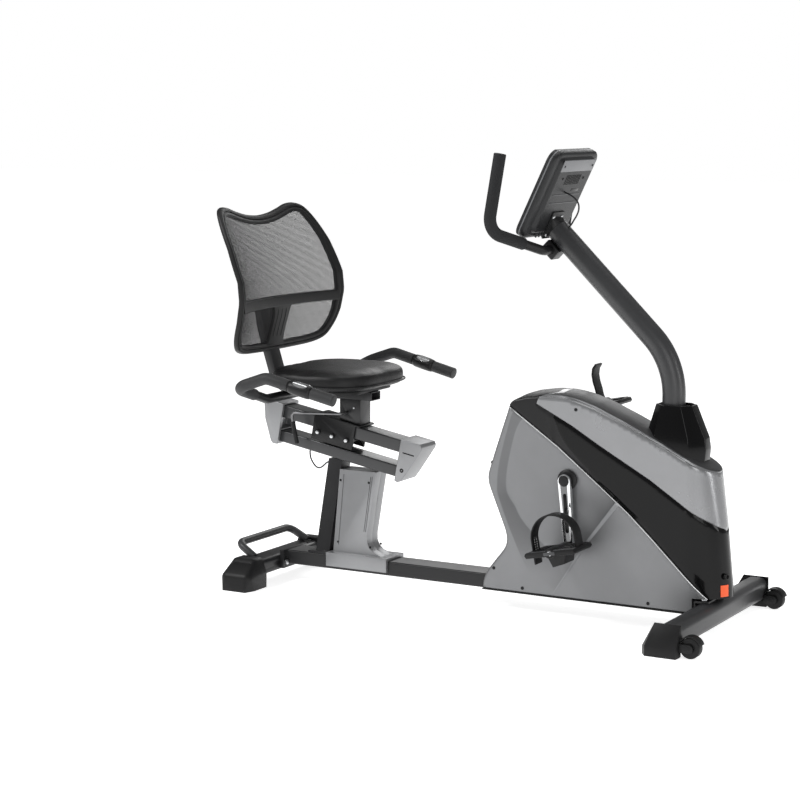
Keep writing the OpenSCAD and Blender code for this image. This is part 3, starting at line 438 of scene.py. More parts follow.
def frames_along(path):
    """Tangent, side and up vectors along a path, without twist."""
    path = [np.array(p, float) for p in path]
    tangents = []
    for i in range(len(path)):
        a, b = path[max(0, i - 1)], path[min(len(path) - 1, i + 1)]
        tangents.append((b - a) / np.linalg.norm(b - a))
    ref = np.array((0, 0, 1.0))
    if abs(ref @ tangents[0]) > 0.95:
        ref = np.array((1.0, 0, 0))
    side = np.cross(tangents[0], ref)
    side /= np.linalg.norm(side)
    out = []
    for t in tangents:
        side = side - t * (side @ t)
        side /= np.linalg.norm(side)
        out.append((t, side, np.cross(side, t)))
    return path, out


def sweep(name, body, slot, mat, path, radius, sides=28, replaces=(), caps="round", smooth=50):
    """A round tube along a path in millimetres. radius may vary along it."""
    path, fr = frames_along(path)
    if not hasattr(radius, "__len__"):
        radius = [radius] * len(path)
    rows = [(path[i], fr[i], radius[i]) for i in range(len(path))]
    if caps == "round":
        # the ends turn in over 1.5 mm: (distance from the end, radius lost)
        turn = ((0, 1.5), (0.45, 0.45), (1.5, 0))
        head = [(path[0] + fr[0][0] * s, fr[0], radius[0] - k) for s, k in turn]
        tail = [(path[-1] - fr[-1][0] * s, fr[-1], radius[-1] - k) for s, k in turn[::-1]]
        rows = head + rows[1:-1] + tail
    verts, faces = [], []
    angles = [2 * math.pi * k / sides for k in range(sides)]
    profile = [(math.cos(a), math.sin(a)) for a in angles]
    n = len(profile)
    for p, (_, s, u), r in rows:
        verts += [at(*(p + s * (a * r) + u * (b * r))) for a, b in profile]
    for i in range(len(rows) - 1):
        for j in range(n):
            a, b = i * n + j, i * n + (j + 1) % n
            faces.append([a, b, b + n, a + n])
    faces.append(list(range(n))[::-1])
    faces.append([(len(rows) - 1) * n + j for j in range(n)])
    return piece(name, body, slot, mat, verts, faces, smooth, replaces)


def slab_piece(name, body, slot, mat, outline, y0, y1, bevel=1.2, to=None):
    """A polygon in X and Z drawn out along Y, with rounded edges. to maps (x, y, z) to the drawing."""
    to = to or (lambda x, y, z: (x, y, z))
    n = len(outline)
    verts = [at(*to(x, y, z)) for y in (y0, y1) for x, z in outline]
    faces = [list(range(n)), [n + i for i in range(n)][::-1]]
    faces += [[i, i + n, (i + 1) % n + n, (i + 1) % n] for i in range(n)]
    return piece(name, body, slot, mat, verts, faces, 35, bevel=(bevel * MM, 3))


def box_piece(name, body, slot, mat, lo, hi, bevel=1.0, to=None):
    corners = [(lo[0], lo[2]), (hi[0], lo[2]), (hi[0], hi[2]), (lo[0], hi[2])]
    return slab_piece(name, body, slot, mat, corners, lo[1], hi[1], bevel, to)


def lathe(name, body, slot, mat, centre, axis, profile, sides=40, replaces=(), smooth=35):
    """Turns (radius, distance) pairs round an axis through centre; millimetres."""
    axis = np.array(axis, float)
    axis /= np.linalg.norm(axis)
    ref = np.array((0, 0, 1.0)) if abs(axis[2]) < 0.9 else np.array((1.0, 0, 0))
    s = np.cross(axis, ref)
    s /= np.linalg.norm(s)
    u = np.cross(axis, s)
    c = np.array(centre, float)
    verts, faces = [], []
    for r, d in profile:
        for k in range(sides):
            a = 2 * math.pi * k / sides
            verts.append(at(*(c + axis * d + (s * math.cos(a) + u * math.sin(a)) * r)))
    for i in range(len(profile) - 1):
        for k in range(sides):
            a, b = i * sides + k, i * sides + (k + 1) % sides
            faces.append([a, b, b + sides, a + sides])
    faces.append(list(range(sides))[::-1])
    faces.append([(len(profile) - 1) * sides + k for k in range(sides)])
    return piece(name, body, slot, mat, verts, faces, smooth, replaces, merge=1e-7)


def loft(name, body, slot, mat, rings, replaces=(), smooth=35, bevel=None, caps=(True, True)):
    """Joins closed rings of points, all with the same count; millimetres."""
    n = len(rings[0])
    verts = [at(*p) for ring in rings for p in ring]
    faces = []
    for i in range(len(rings) - 1):
        for j in range(n):
            a, b = i * n + j, i * n + (j + 1) % n
            faces.append([a, b, b + n, a + n])
    if caps[0]:
        faces.append(list(range(n))[::-1])
    if caps[1]:
        faces.append([(len(rings) - 1) * n + j for j in range(n)])
    return piece(name, body, slot, mat, verts, faces, smooth, replaces, bevel=bevel)


def screw(name, body, centre, axis, radius=4.5, mat="screw", height=2.0, slot="black_screw"):
    """A round screw head with a recess."""
    r = radius
    return lathe(name, body, slot, mat, centre, axis,
                 [(r, -1.0), (r, height * 0.35), (r * 0.86, height * 0.8), (r * 0.6, height), (r * 0.42, height),
                  (r * 0.34, height * 0.2), (r * 0.02, height * 0.1)], sides=20)


def mirrored(obj, name):
    """The same piece on the other side of the bike."""
    mesh = obj.data.copy()
    mesh.transform(Matrix.Scale(-1, 4, (0, 1, 0)))
    mesh.flip_normals()
    twin = bpy.data.objects.new(name, mesh)
    scene.collection.objects.link(twin)
    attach(twin, obj["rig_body"])
    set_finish(twin, obj["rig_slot"])
    return twin


def distance_to(points, line):
    """Distance of each point to a polyline and the side it lies on: positive to the left of its direction."""
    p = np.array(points, float)
    best = np.full(len(p), 1e9)
    side = np.zeros(len(p))
    along = np.zeros(len(p))
    run = 0.0
    for a, b in zip(line[:-1], line[1:]):
        a, b = np.array(a, float), np.array(b, float)
        d = b - a
        length = math.hypot(*d)
        t = np.clip(((p - a) @ d) / (length ** 2), 0, 1)
        q = a + t[:, None] * d
        dist = np.hypot(*(p - q).T)
        s = np.sign(d[0] * (p[:, 1] - a[1]) - d[1] * (p[:, 0] - a[0]))
        # a point beyond a bend takes the side of the nearer stretch
        take = dist < best - 1e-9
        best = np.where(take, dist, best)
        side = np.where(take, s, side)
        along = np.where(take, run + t * length, along)
        run += length
    return best, side, along / run


# ---------- housing ----------

rear_edge = [(20, 53.5), (22, 78), (34, 104), (62, 140), (84, 168), (92, 190), (90, 212), (80, 240), (44, 326),
             (38, 346), (37, 362), (42, 384), (70, 470), (97.5, 550)]
crown = [(102, 563), (112, 570), (150, 580), (186, 583.6), (200, 585), (241, 584), (262, 582), (289, 577),
         (340, 562), (417, 530), (528, 479), (610, 437), (640, 424), (664, 414)]
front_edge = [(664, 414), (684, 277), (702, 110), (704, 53)]
band_low = [(97.5, 551), (240, 455), (363, 359), (440, 298), (505, 239), (588, 159), (652, 98), (658.5, 92.4)]
band_high = [(178, 563), (280, 512), (362, 464), (502, 387), (613, 315), (663, 286), (684, 268), (686, 262)]
HALF, NOSE_FROM, NOSE_K = 75.0, 600.0, 90.4
S_END = NOSE_FROM + NOSE_K * math.pi / 2


def nose_x(z):
    """How far forward the nose reaches at height z."""
    return float(np.interp(z, [p[1] for p in front_edge[::-1]], [p[0] for p in front_edge[::-1]]))


def to_s(x, z):
    """From X to the distance along the housing's side and round its nose."""
    if x <= NOSE_FROM:
        return x
    return NOSE_FROM + NOSE_K * math.asin(min(1.0, (x - NOSE_FROM) / (nose_x(z) - NOSE_FROM)))


def house(s, z, h=0.0):
    """A point on the right side of the housing and round its nose, raised by h."""
    if s <= NOSE_FROM:
        return (s, -(HALF + h), z)
    t = min(math.pi / 2, (s - NOSE_FROM) / NOSE_K)
    a = nose_x(z) - NOSE_FROM
    nx, ny = HALF * math.sin(t), -a * math.cos(t)
    length = math.hypot(nx, ny)
    return (NOSE_FROM + a * math.sin(t) + h * nx / length, -HALF * math.cos(t) + h * ny / length, z)


def dense(line, spacing):
    """The line with places added about spacing apart."""
    out = []
    for a, b in zip(line[:-1], line[1:]):
        n = max(1, int(math.hypot(b[0] - a[0], b[1] - a[1]) / spacing + 0.5))
        out += [(a[0] + (b[0] - a[0]) * k / n, a[1] + (b[1] - a[1]) * k / n) for k in range(n)]
    return out + [line[-1]]


def curve2(line, n=5):
    return [tuple(p) for p in catmull(line, n)]


def offset_line(line, d):
    """The line moved to its left by d."""
    out = []
    for i, p in enumerate(line):
        a, b = line[max(0, i - 1)], line[min(len(line) - 1, i + 1)]
        dx, dy = b[0] - a[0], b[1] - a[1]
        length = math.hypot(dx, dy)
        out.append((p[0] - dy / length * d, p[1] + dx / length * d))
    return out


def inside(points, outline):
    """Which points lie inside the outline."""
    p = np.array(points, float)
    o = np.array(outline, float)
    hit = np.zeros(len(p), bool)
    j = len(o) - 1
    for i in range(len(o)):
        yi, yj = o[i][1], o[j][1]
        cond = (yi > p[:, 1]) != (yj > p[:, 1])
        with np.errstate(divide="ignore", invalid="ignore"):
            x = (o[j][0] - o[i][0]) * (p[:, 1] - yi) / (yj - yi) + o[i][0]
        hit ^= cond & (p[:, 0] < x)
        j = i
    return hit


def relief(name, body, slot, mats, outline, lines, height, place, spacing, skirt, pick=None, smooth=30):
    """A panel cut to an outline, with its surface raised by height(points), and a skirt round its edge."""
    edge = dense(list(outline) + [outline[0]], spacing * 0.8)[:-1]
    coords = [Vector(p) for p in edge]
    links = [(i, (i + 1) % len(edge)) for i in range(len(edge))]
    for line in lines:
        pts = dense(line, spacing * 0.7)
        keep = inside(pts, outline)
        last = None
        for p, k in zip(pts, keep):
            if k:
                coords.append(Vector(p))
                if last is not None:
                    links.append((last, len(coords) - 1))
                last = len(coords) - 1
            else:
                last = None
    lo, hi = np.min(outline, axis=0), np.max(outline, axis=0)
    grid = []
    row = 0
    y = lo[1] + spacing / 2
    while y < hi[1]:
        x = lo[0] + (spacing / 2 if row % 2 else spacing)
        while x < hi[0]:
            grid.append((x, y))
            x += spacing
        y += spacing * 0.87
        row += 1
    fixed = np.array([tuple(c) for c in coords])
    for p, k in zip(grid, inside(grid, outline)):
        if k and np.min(np.hypot(*(fixed - p).T)) > spacing * 0.45:
            coords.append(Vector(p))
    out, _, faces, *_ = delaunay_2d_cdt(coords, links, [], 1, 1e-4)
    flat = [(v.x, v.y) for v in out]
    mid = [(sum(flat[i][0] for i in f) / len(f), sum(flat[i][1] for i in f) / len(f)) for f in faces]
    good = inside(mid, outline)
    faces = [list(f) for f, g in zip(faces, good) if g]
    mid = [m for m, g in zip(mid, good) if g]
    h = height(np.array(flat))
    verts = [at(*place(p[0], p[1], float(k))) for p, k in zip(flat, h)]
    count = {}
    for f in faces:
        for a, b in zip(f, f[1:] + f[:1]):
            count.setdefault(tuple(sorted((a, b))), []).append((a, b))
    rim = [v[0] for v in count.values() if len(v) == 1]
    lower = {}
    for a, b in rim:
        for i in (a, b):
            if i not in lower:
                lower[i] = len(verts)
                verts.append(at(*skirt(flat[i][0], flat[i][1], float(h[i]))))
    extra = [[b, a, lower[a], lower[b]] for a, b in rim]
    index = list(pick(np.array(mid))) if pick is not None else [0] * len(faces)
    outward = Vector(place(mid[0][0], mid[0][1], 1.0)) - Vector(place(mid[0][0], mid[0][1], 0.0))
    return skin(name, body, slot, mats, verts, faces + extra, index + [0] * len(extra), (0, outward), smooth)


def skin(name, body, slot, mats, verts, faces, index, facing, smooth):
    """An open surface whose face facing[0] looks towards facing[1]; index picks each face's material."""
    mesh = bpy.data.meshes.new(name)
    mesh.from_pydata([tuple(v) for v in verts], [], faces)
    mesh.update()
    if mesh.polygons[facing[0]].normal.dot(facing[1]) < 0:
        mesh.flip_normals()
    obj = bpy.data.objects.new(name, mesh)
    scene.collection.objects.link(obj)
    smooth_by(mesh, smooth)
    paint(obj, *([mats] if isinstance(mats, str) else mats))
    for p, k in zip(mesh.polygons, index):
        p.material_index = int(k)
    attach(obj, body)
    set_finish(obj, slot)
    return obj


def round_off(d, r):
    """How far a surface drops at distance d from an edge rounded by r."""
    t = np.clip(1 - d / r, 0, 1)
    return -r * (1 - np.sqrt(np.clip(1 - t * t, 0, 1)))


def ease(t):
    """From 0 to 1 with a soft start and end."""
    t = np.clip(t, 0, 1)
    return t * t * (3 - 2 * t)


rear_line = curve2(rear_edge)
low_line = [(to_s(x, z), z) for x, z in dense(band_low, 14)]
high_line = [(to_s(x, z), z) for x, z in dense(band_high, 14)]
crown_line = [(to_s(x, z), z) for x, z in dense(crown, 10)]
line_a = curve2([(112, 542), (101, 516), (72, 407), (65, 342), (73, 298), (132, 159), (170, 90)])
line_b = curve2([(140, 522), (127, 505), (113, 470), (94, 384), (93, 325), (117, 287), (144, 245), (221, 172),
                 (262, 110)])
groove = [(421, 322), (414, 312), (332, 209), (312, 180), (235, 66)]


def panel_height(p):
    """The side panel's relief at points p, in millimetres."""
    da, sa, _ = distance_to(p, line_a)
    db, sb, _ = distance_to(p, line_b)
    t = np.where(sa < 0, 0.0, np.where(sb > 0, 1.0, da / (da + db + 1e-9)))
    # both lines run downwards, so their left side is towards the pedals
    raised = 6.5 * ease((p[:, 1] - 90) / 150) * (1 - t)
    d, s, u = distance_to(p, groove)
    width = groove_width(u)
    depth = 7.5 * (1 - u) ** 0.8
    cut = np.where(s < 0, np.clip(1 - (d - width) / 105, 0, 1) ** 1.4 * np.where(d < width, d / width, 1.0), 0.0)
    h = -4.0 + raised - depth * cut
    dr, _, _ = distance_to(p, rear_line)
    h = h + round_off(dr, 9.0)
    h = h + np.where(p[:, 1] < 60, round_off(p[:, 1] - 53.5, 3.0), 0)
    dl, _, _ = distance_to(p, low_line)
    return h + round_off(dl, 1.6)


def step_on(signed, low=0.6, high=2.6):
    """0 up to low, 1 from high on."""
    return np.clip((signed - low) / (high - low), 0, 1)


def groove_width(u):
    """Width of the groove, from its top at 0 to its foot at 1."""
    return 15 - 12 * u


def panel_shade(p):
    """Painted light and shade on the side panel, where the relief turns away from or towards the light: positive
    is painted shade and painted dark reflection, negative a painted highlight.
    """
    da, sa, _ = distance_to(p, line_a)
    db, sb, _ = distance_to(p, line_b)
    # painted shade on the ramp between line_a and line_b, fading out towards the floor
    fade = ease((p[:, 1] - 95) / 110)
    out = 0.30 * fade * step_on(da * sa) * step_on(-db * sb)
    d, s, u = distance_to(p, groove)
    width = groove_width(u)
    # painted dark reflection beside the groove on its crank side
    past = step_on(-d * s - width + 1.6)
    out = out + past * 0.62 * (1 - u) ** 0.6 * np.exp(-np.maximum(d - width, 0) / 42)
    # painted highlight on the groove's bevel
    out = out - step_on(-d * s) * (1 - past) * 0.42 * (1 - 0.5 * u)
    # painted dark reflection on the groove's front side, round its middle
    out = out + (1 - step_on(-d * s)) * 0.42 * np.exp(-d / 34) * np.exp(-((u - 0.36) / 0.2) ** 2)
    # painted shade in the lower front corner
    corner = np.hypot(p[:, 0] - 625, p[:, 1] - 60)
    out = out + 0.55 * np.exp(-(corner / 75) ** 2)
    # painted shade along the rounded rear edge
    dr, _, _ = distance_to(p, rear_line)
    return out + 0.5 * np.exp(-(dr / 5) ** 2)


def groove_edge(extra):
    """The groove's left edge, which closes in on its line towards the foot."""
    pts = dense(groove, 8)
    runs = np.linspace(0, 1, len(pts))
    out = []
    for p, q, u in zip(pts, offset_line(pts, -1), runs):
        k = groove_width(u) + extra
        out.append((p[0] + (q[0] - p[0]) * k, p[1] + (q[1] - p[1]) * k))
    return out


def store_painted_light(obj, shade):
    """Stores the painted light and shade given by shade(points in X and Z of the drawing) on the mesh."""
    mesh = obj.data
    layer = mesh.attributes.new("shade", "FLOAT", "POINT")
    pts = np.array([((v.co.x - SHIFT) / MM, v.co.z / MM) for v in mesh.vertices])
    layer.data.foreach_set("value", [float(k) for k in shade(pts)])


def panel_skirt(s, z, h):
    d, _, _ = distance_to([(s, z)], rear_line)
    if d[0] < 0.6:
        return (s, -0.3, z)
    return house(s, z, h - 5)


panel_outline = rear_line[:-1] + low_line + [(617.6, 92.4), (617.6, 53.5)]
panel = relief("housing_panel_right", "frame", "panel_plastic", "panel_plastic", panel_outline,
               [line_a, offset_line(line_a, 3), line_b, offset_line(line_b, -3), groove,
                offset_line(dense(groove, 8), -3), groove_edge(-1.2), groove_edge(1.4)]
               + [offset_line(rear_line, -d) for d in (2, 5, 9)],
               panel_height, house, 6.0, panel_skirt, smooth=24)
# painted shade, painted dark reflections and a painted highlight on the right panel; its mirrored copy keeps them
store_painted_light(panel, panel_shade)
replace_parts(panel, "housing_right")
twin = mirrored(panel, "housing_panel_left")
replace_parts(twin, "housing_left")

crease = curve2([(228, 531), (252, 482), (287, 440), (361, 378), (466, 297), (518, 247), (600, 178), (660, 135)])
crease = [(to_s(x, z), z) for x, z in crease]
lid_line = [(s, z) for s, z in crown_line if s <= 186.5]


def band_height(p):
    d, s, _ = distance_to(p, crease)
    dl, _, _ = distance_to(p, low_line)
    # below the crease the face leans in towards the panel
    below = (s < 0) | (p[:, 0] < 226)
    lean = np.where(below, -3.2 * d / (d + dl + 1e-9), 0.0)
    lean = np.where(p[:, 0] < 226, -3.2 * ease((226 - p[:, 0]) / 26) * (1 - 0.3 * dl / 60), lean)
    dh, _, _ = distance_to(p, high_line)
    dk, _, _ = distance_to(p, lid_line)
    dr, _, _ = distance_to(p, rear_line[-12:])
    return lean + round_off(dh, 2.0) + round_off(dk, 7.0) + round_off(dr, 5.0) + round_off(dl, 1.5)


def band_pick(m):
    _, s, _ = distance_to(m, crease)
    return np.where(((s < 0) & (m[:, 0] < 330)) | (m[:, 0] < 226), 1, 0)


def band_skirt(s, z, h):
    d, _, _ = distance_to([(s, z)], rear_line[-12:])
    if d[0] < 0.6 or s < 103:
        return (s, -0.3, z)
    if s > S_END - 0.5:
        return house(s, z, h)
    return house(s, z, h - 5)


band_outline = low_line + [(S_END, 92.4), (S_END, 262)] + high_line[::-1] + lid_line[::-1]
band = relief("front_band_right", "frame", "gloss_black", ("gloss_black", "satin_black"), band_outline,
              [crease, offset_line(crease, -3), offset_line(lid_line, -2), offset_line(lid_line, -5)],
              band_height, house, 8.0, band_skirt, band_pick, smooth=24)
twin = mirrored(band, "front_band_left")
join("front_band_skin", [band, twin], replaces="front_band")

upper_crown = [p for p in crown_line if p[0] >= 185.5]


def cover_height(p):
    dk, _, _ = distance_to(p, upper_crown)
    dh, _, _ = distance_to(p, high_line)
    return round_off(dk, 4.0) + round_off(dh, 2.5)


def cover_skirt(s, z, h):
    if s > S_END - 0.5:
        return house(s, z, h)
    return house(s, z, h - 5)


cover_outline = high_line + [(S_END, 262), (S_END, 414)] + upper_crown[::-1][1:]
cover = relief("top_cover_right", "frame", "gloss_silver", "gloss_silver", cover_outline,
               [offset_line(upper_crown, -1.5), offset_line(upper_crown, -4), offset_line(high_line, 2.5)],
               cover_height, house, 9.0, cover_skirt, smooth=24)
twin = mirrored(cover, "top_cover_left")


DECK_HALF, NOSE_LONG = 71.0, 64
LID_ROW, STRIP_ROW, NOSE_ROW = 16, 24, 84  # rows of the deck's grid where each stretch ends


def deck():
    """The top face: black lid at the rear, then a silver edge round a dark deck."""
    cx, cz = [p[0] for p in crown], [p[1] for p in crown]
    cols = [-1, -0.985, -0.95, -0.9, -0.85] + [k / 10 for k in range(-7, 8, 1)] + [0.85, 0.9, 0.95, 0.985, 1]
    verts, faces, index = [], [], []
    for i in range(NOSE_ROW + 29):
        for f in cols:
            g = min(1, (1 - abs(f)) * 2.4)
            lid = 184 + 44 * g
            strip = lid + 4 + 12 * g
            if i <= LID_ROW:
                x = crown[0][0] + (lid - crown[0][0]) * i / LID_ROW
            elif i <= STRIP_ROW:
                x = lid + (strip - lid) * (i - LID_ROW) / (STRIP_ROW - LID_ROW)
            elif i <= NOSE_ROW:
                x = strip + (NOSE_FROM - strip) * (i - STRIP_ROW) / (NOSE_ROW - STRIP_ROW)
            else:
                x = NOSE_FROM + NOSE_LONG * math.sin((i - NOSE_ROW) / 28 * math.pi / 2)
            w = DECK_HALF
            if x > NOSE_FROM:
                w *= math.cos(math.asin(min(1, (x - NOSE_FROM) / NOSE_LONG)))
            bulge = np.interp(x, [102, 130, 230, 600, 664], [3, 8, 14, 12, 3]) * (1 - abs(f) ** 2.4)
            shoulder = 4 * ease((abs(f) - 0.85) / 0.15) if x > 184 else 0
            z = float(np.interp(x, cx, cz)) + bulge - shoulder * 0.6
            verts.append(at(x, f * w, z - 1.0 if x < 120 else z))
    n = len(cols)
    for i in range(NOSE_ROW + 28):
        for j in range(n - 1):
            faces.append([i * n + j, i * n + j + 1, (i + 1) * n + j + 1, (i + 1) * n + j])
            f = abs(cols[j] + cols[j + 1]) / 2
            index.append(0 if i < LID_ROW else 1 if i < STRIP_ROW or f > 0.86 else 2)
    return skin("top_deck", "frame", "gloss_silver", ("satin_black", "gloss_silver", "deck_grey"), verts, faces,
                index, (len(faces) // 2, Vector((0, 0, 1))), 30)


join("top_cover_skin", [cover, twin, deck()], replaces="top_cover")

# bright trim along the lower edge of the band, and the black edge under the panels
trim_path = [house(s, z, -1.2) for s, z in low_line]
trim = sweep("band_trim_right", "frame", "gloss_silver", "trim_silver", trim_path, 1.5, 10)
twin = mirrored(trim, "band_trim_left")
for y in (-1, 1):
    box_piece("floor_edge_" + ("right" if y < 0 else "left"), "frame", "black_plastic", "black_plastic",
              (21, min(y * 74, y * 66), 50.5), (617, max(y * 74, y * 66), 54.2), 0.8)

screws = []
for k, (x, z, h) in enumerate([(55, 112, -3.5), (140, 66, -4), (500, 66, -4), (292, 556, 0), (50, 398, -2)]):
    for y in (-1, 1):
        screws.append(screw("housing_screw_%d" % k, "frame", (x, y * (HALF + h), z), (0, y, 0), 4.6))
join("housing_screw_set", screws, "frame", "black_screw", replaces="housing_screws")

# collar round the foot of the mast
def chamfered(cx, z, w, d, c):
    hw, hd = w / 2, d / 2
    return [(cx - hw + c, -hd, z), (cx + hw - c, -hd, z), (cx + hw, -hd + c, z), (cx + hw, hd - c, z),
            (cx + hw - c, hd, z), (cx - hw + c, hd, z), (cx - hw, hd - c, z), (cx - hw, -hd + c, z)]


loft("collar_shell", "frame", "gloss_black", "gloss_black",
     [chamfered(551, 428, 150, 108, 34), chamfered(549, 470, 162, 107, 35), chamfered(546, 498, 160, 104, 34),
      chamfered(541, 579, 100, 83, 24), chamfered(541, 580, 92, 75, 21), chamfered(541, 572, 88, 71, 20)],
     replaces="mast_collar", smooth=28, bevel=(0.0022, 3, 12))

# charger socket
lathe("socket_ring", "frame", "black_plastic", "black_plastic", (697.5, -30, 150), (1, -0.35, 0.05),
      [(8, -4), (8, 1.4), (7, 2.4), (5, 2.4), (4.2, -3), (1.5, -3), (1.5, 1.2), (0.1, 1.4)], 28,
      replaces="dc_socket")


# ---------- CAD shapes with their edges rounded ----------

def refined(node, mats, bevel=1.2, segments=2, angle=32):
    """A copy of a CAD node with flat faces merged and its sharp edges rounded; the copy replaces the node."""
    src = nodes[node]
    obj = bpy.data.objects.new(node + "_finished", src.data.copy())
    scene.collection.objects.link(obj)
    bm = bmesh.new()
    bm.from_mesh(obj.data)
    bmesh.ops.remove_doubles(bm, verts=bm.verts, dist=2e-6)
    bmesh.ops.dissolve_limit(bm, angle_limit=math.radians(1.5), verts=bm.verts, edges=bm.edges)
    bm.to_mesh(obj.data)
    bm.free()
    return dress(obj, src["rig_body"], SLOT_OF[node], mats, 38, replaces=node, bevel=(bevel * MM, segments, angle))


SLOT_OF = {row["node"]: row["material_slot"] for row in frame["record"]["subparts"]}

FINISHED = [
    ("main_beam", "beam_paint", 1.6), ("front_caps", "black_plastic", 2.0),
    ("rear_caps", "black_plastic", 2.0), ("front_stabiliser", "stab_paint", 0.6),
    ("rear_stabiliser", "beam_paint", 0.6), ("slider", "satin_black", 1.0),
    ("seat_frame", "frame_paint", 1.2), ("seat_pan", "black_plastic", 2.5), ("upper_rail", "rail_paint", 0.5),
    ("lower_rail", "rail_paint", 0.5), ("seat_post", "frame_paint", 1.0), ("console_face", "charcoal", 1.5),
    ("console_bracket", "satin_black", 1.0), ("pedal_right", "black_plastic", 1.2),
    ("pedal_left", "black_plastic", 1.2), ("strap_right", "rubber", 0.8), ("strap_left", "rubber", 0.8),
    ("crank_arms", "chrome", 1.5), ("wheel_right", "rubber", 2.5), ("wheel_left", "rubber", 2.5),
    ("dial", "gloss_black", 1.5), ("key_start", "charcoal_light", 1.0), ("key_reset", "charcoal_light", 1.0)]
for node, paint_name, size in FINISHED:
    refined(node, paint_name, size)

# ---------- mast, handlebar, side bar and other tubes ----------

MAST_BACK = math.radians(45.5)
MAST_X, MAST_BEND, MAST_LONG = 533, 210, 380
MAST_TOP = (MAST_X - MAST_BEND * (1 - math.cos(MAST_BACK)) - MAST_LONG * math.sin(MAST_BACK), 0,
            600 + MAST_BEND * math.sin(MAST_BACK) + MAST_LONG * math.cos(MAST_BACK))
MAST = [(MAST_X, 0, 400), (MAST_X, 0, 600 + MAST_BEND * math.tan(MAST_BACK / 2)), MAST_TOP]
sweep("mast_tube", "frame", "frame_paint", "mast_paint", rounded_path(MAST, MAST_BEND, 9), 30, 56,
      replaces="mast", caps="flat")

BAR_MID = (187.6, 963)
BAR = [(146, -230, 1216), (112, -230, 1019), (BAR_MID[0], -60, BAR_MID[1]),
       (BAR_MID[0], 60, BAR_MID[1]), (112, 230, 1019), (146, 230, 1216)]
bar_tube = sweep("bar_tube", "frame", "frame_paint", "satin_black", rounded_path(BAR, 55, 4), 12.5, 32)


def lerp(a, b, t):
    """A place between a and b."""
    return tuple(p + (q - p) * t for p, q in zip(a, b))


def clamp_block():
    """The block that holds the handlebar on the mast."""
    c, s = math.cos(math.pi / 2 - MAST_BACK), math.sin(math.pi / 2 - MAST_BACK)
    to = lambda x, y, z: (BAR_MID[0] + x * c + z * s, y, BAR_MID[1] - x * s + z * c)
    return box_piece("bar_clamp", "frame", "frame_paint", "satin_black", (-22, -24, -16), (22, 24, 17), 3, to)


join("handlebar_set", [bar_tube, clamp_block()], "frame", "frame_paint", replaces="handlebar")

grips = []
for y in (-1, 1):
    ends = [BAR[1 if y < 0 else 4], BAR[2 if y < 0 else 3], BAR[0 if y < 0 else 5]]
    path = rounded_path([lerp(ends[0], ends[1], 0.64), ends[0], ends[2]], 55, 4)
    grips.append(sweep("bar_foam", "frame", "foam", "foam", path, 16, 36))
join("bar_grip_set", grips, "frame", "foam", replaces="bar_grips")

SENSOR_FROM, SENSOR_TO = 70, 134


def side_line(y):
    """One side bar's corners, from its tip to its weld on the seat tube; y is -1 on the right."""
    return [np.array(p, float) * (1, -y, 1) for p in
            [(-286, -333, 571), (-488, -343, 619), (-584, -343, 586), (-584, -195, 539), (-584, -25.2, 539)]]


def contact_plate(tip, way, across, above, lean, wide=25, r=19.35):
    """A bright plate with pointed ends, wrapped on the sensor's shell."""
    mid, half = (SENSOR_FROM + SENSOR_TO) / 2 - 2, 21
    rows = []
    for d in np.linspace(mid - half, mid + half, 9):
        spread = wide * math.sqrt(max(0.02, 1 - ((d - mid) / (half + 1.5)) ** 2))
        angles = [math.radians(lean + spread * t) for t in np.linspace(-1, 1, 9)]
        ring = [(r, a) for a in angles] + [(r - 1.15, a) for a in angles[::-1]]
        rows.append([tip + way * d + (across * math.sin(a) + above * math.cos(a)) * k for k, a in ring])
    return loft("contact_plate", "carriage", "chrome_arm", "chrome", rows)


side, foams, sensors, plates = [], [], [], []
for y in (-1, 1):
    line = side_line(y)
    side.append(sweep("side_tube", "carriage", "frame_paint", "frame_paint", rounded_path(line, 40, 4), 13, 32))
    tip, knee = line[0], line[1]
    way = (knee - tip) / np.linalg.norm(knee - tip)
    front = [tip + way * d for d in (-3, 0, 30, 62, 66)]
    foams.append(sweep("side_foam", "carriage", "foam", "side_foam", front, 16, 36))
    rear = rounded_path([tip + way * (SENSOR_TO + 2), knee, line[2], line[2] + 0.6 * (line[3] - line[2])], 40, 4)
    foams.append(sweep("side_foam", "carriage", "foam", "side_foam", rear, 16, 36))
    sensors.append(sweep("sensor_shell", "carriage", "charcoal_plastic", "satin_black",
                         [tip + way * d for d in (67, 70, 76, 100, 124, 131, 135)],
                         [15.5, 17.2, 18.4, 18.8, 18.4, 17.2, 15.5], 40))
    across = np.cross(way, (0, 0, 1.0))
    across /= np.linalg.norm(across)
    above = np.cross(across, way)
    above = above if above[2] > 0 else -above
    plates += [contact_plate(tip, way, across, above, lean) for lean in (-38, 38)]
join("side_bar_set", side, "carriage", "frame_paint", replaces="side_bar")
join("side_grip_set", foams, "carriage", "foam", replaces="side_grips")
join("sensor_shell_set", sensors, "carriage", "charcoal_plastic")
join("contact_plate_set", plates, "carriage", "chrome_arm", replaces="pulse_sensors")

HANDLE = [(-664, -140, 79), (-722, -133, 112), (-722, 133, 112), (-664, 140, 79)]
handle = [sweep("handle_tube", "frame", "grey_tube", "stab_paint", rounded_path(HANDLE, 26, 4), 11, 32)]
for y in (-140, 140):
    handle.append(lathe("handle_foot", "frame", "grey_tube", "stab_paint", (-664, y, 76), (0, 0, 1),
                        [(11.5, 0), (11.5, 2), (10.8, 2.6), (2, 2.7)], 32))
join("handle_set", handle, "frame", "grey_tube", replaces="rear_handle")

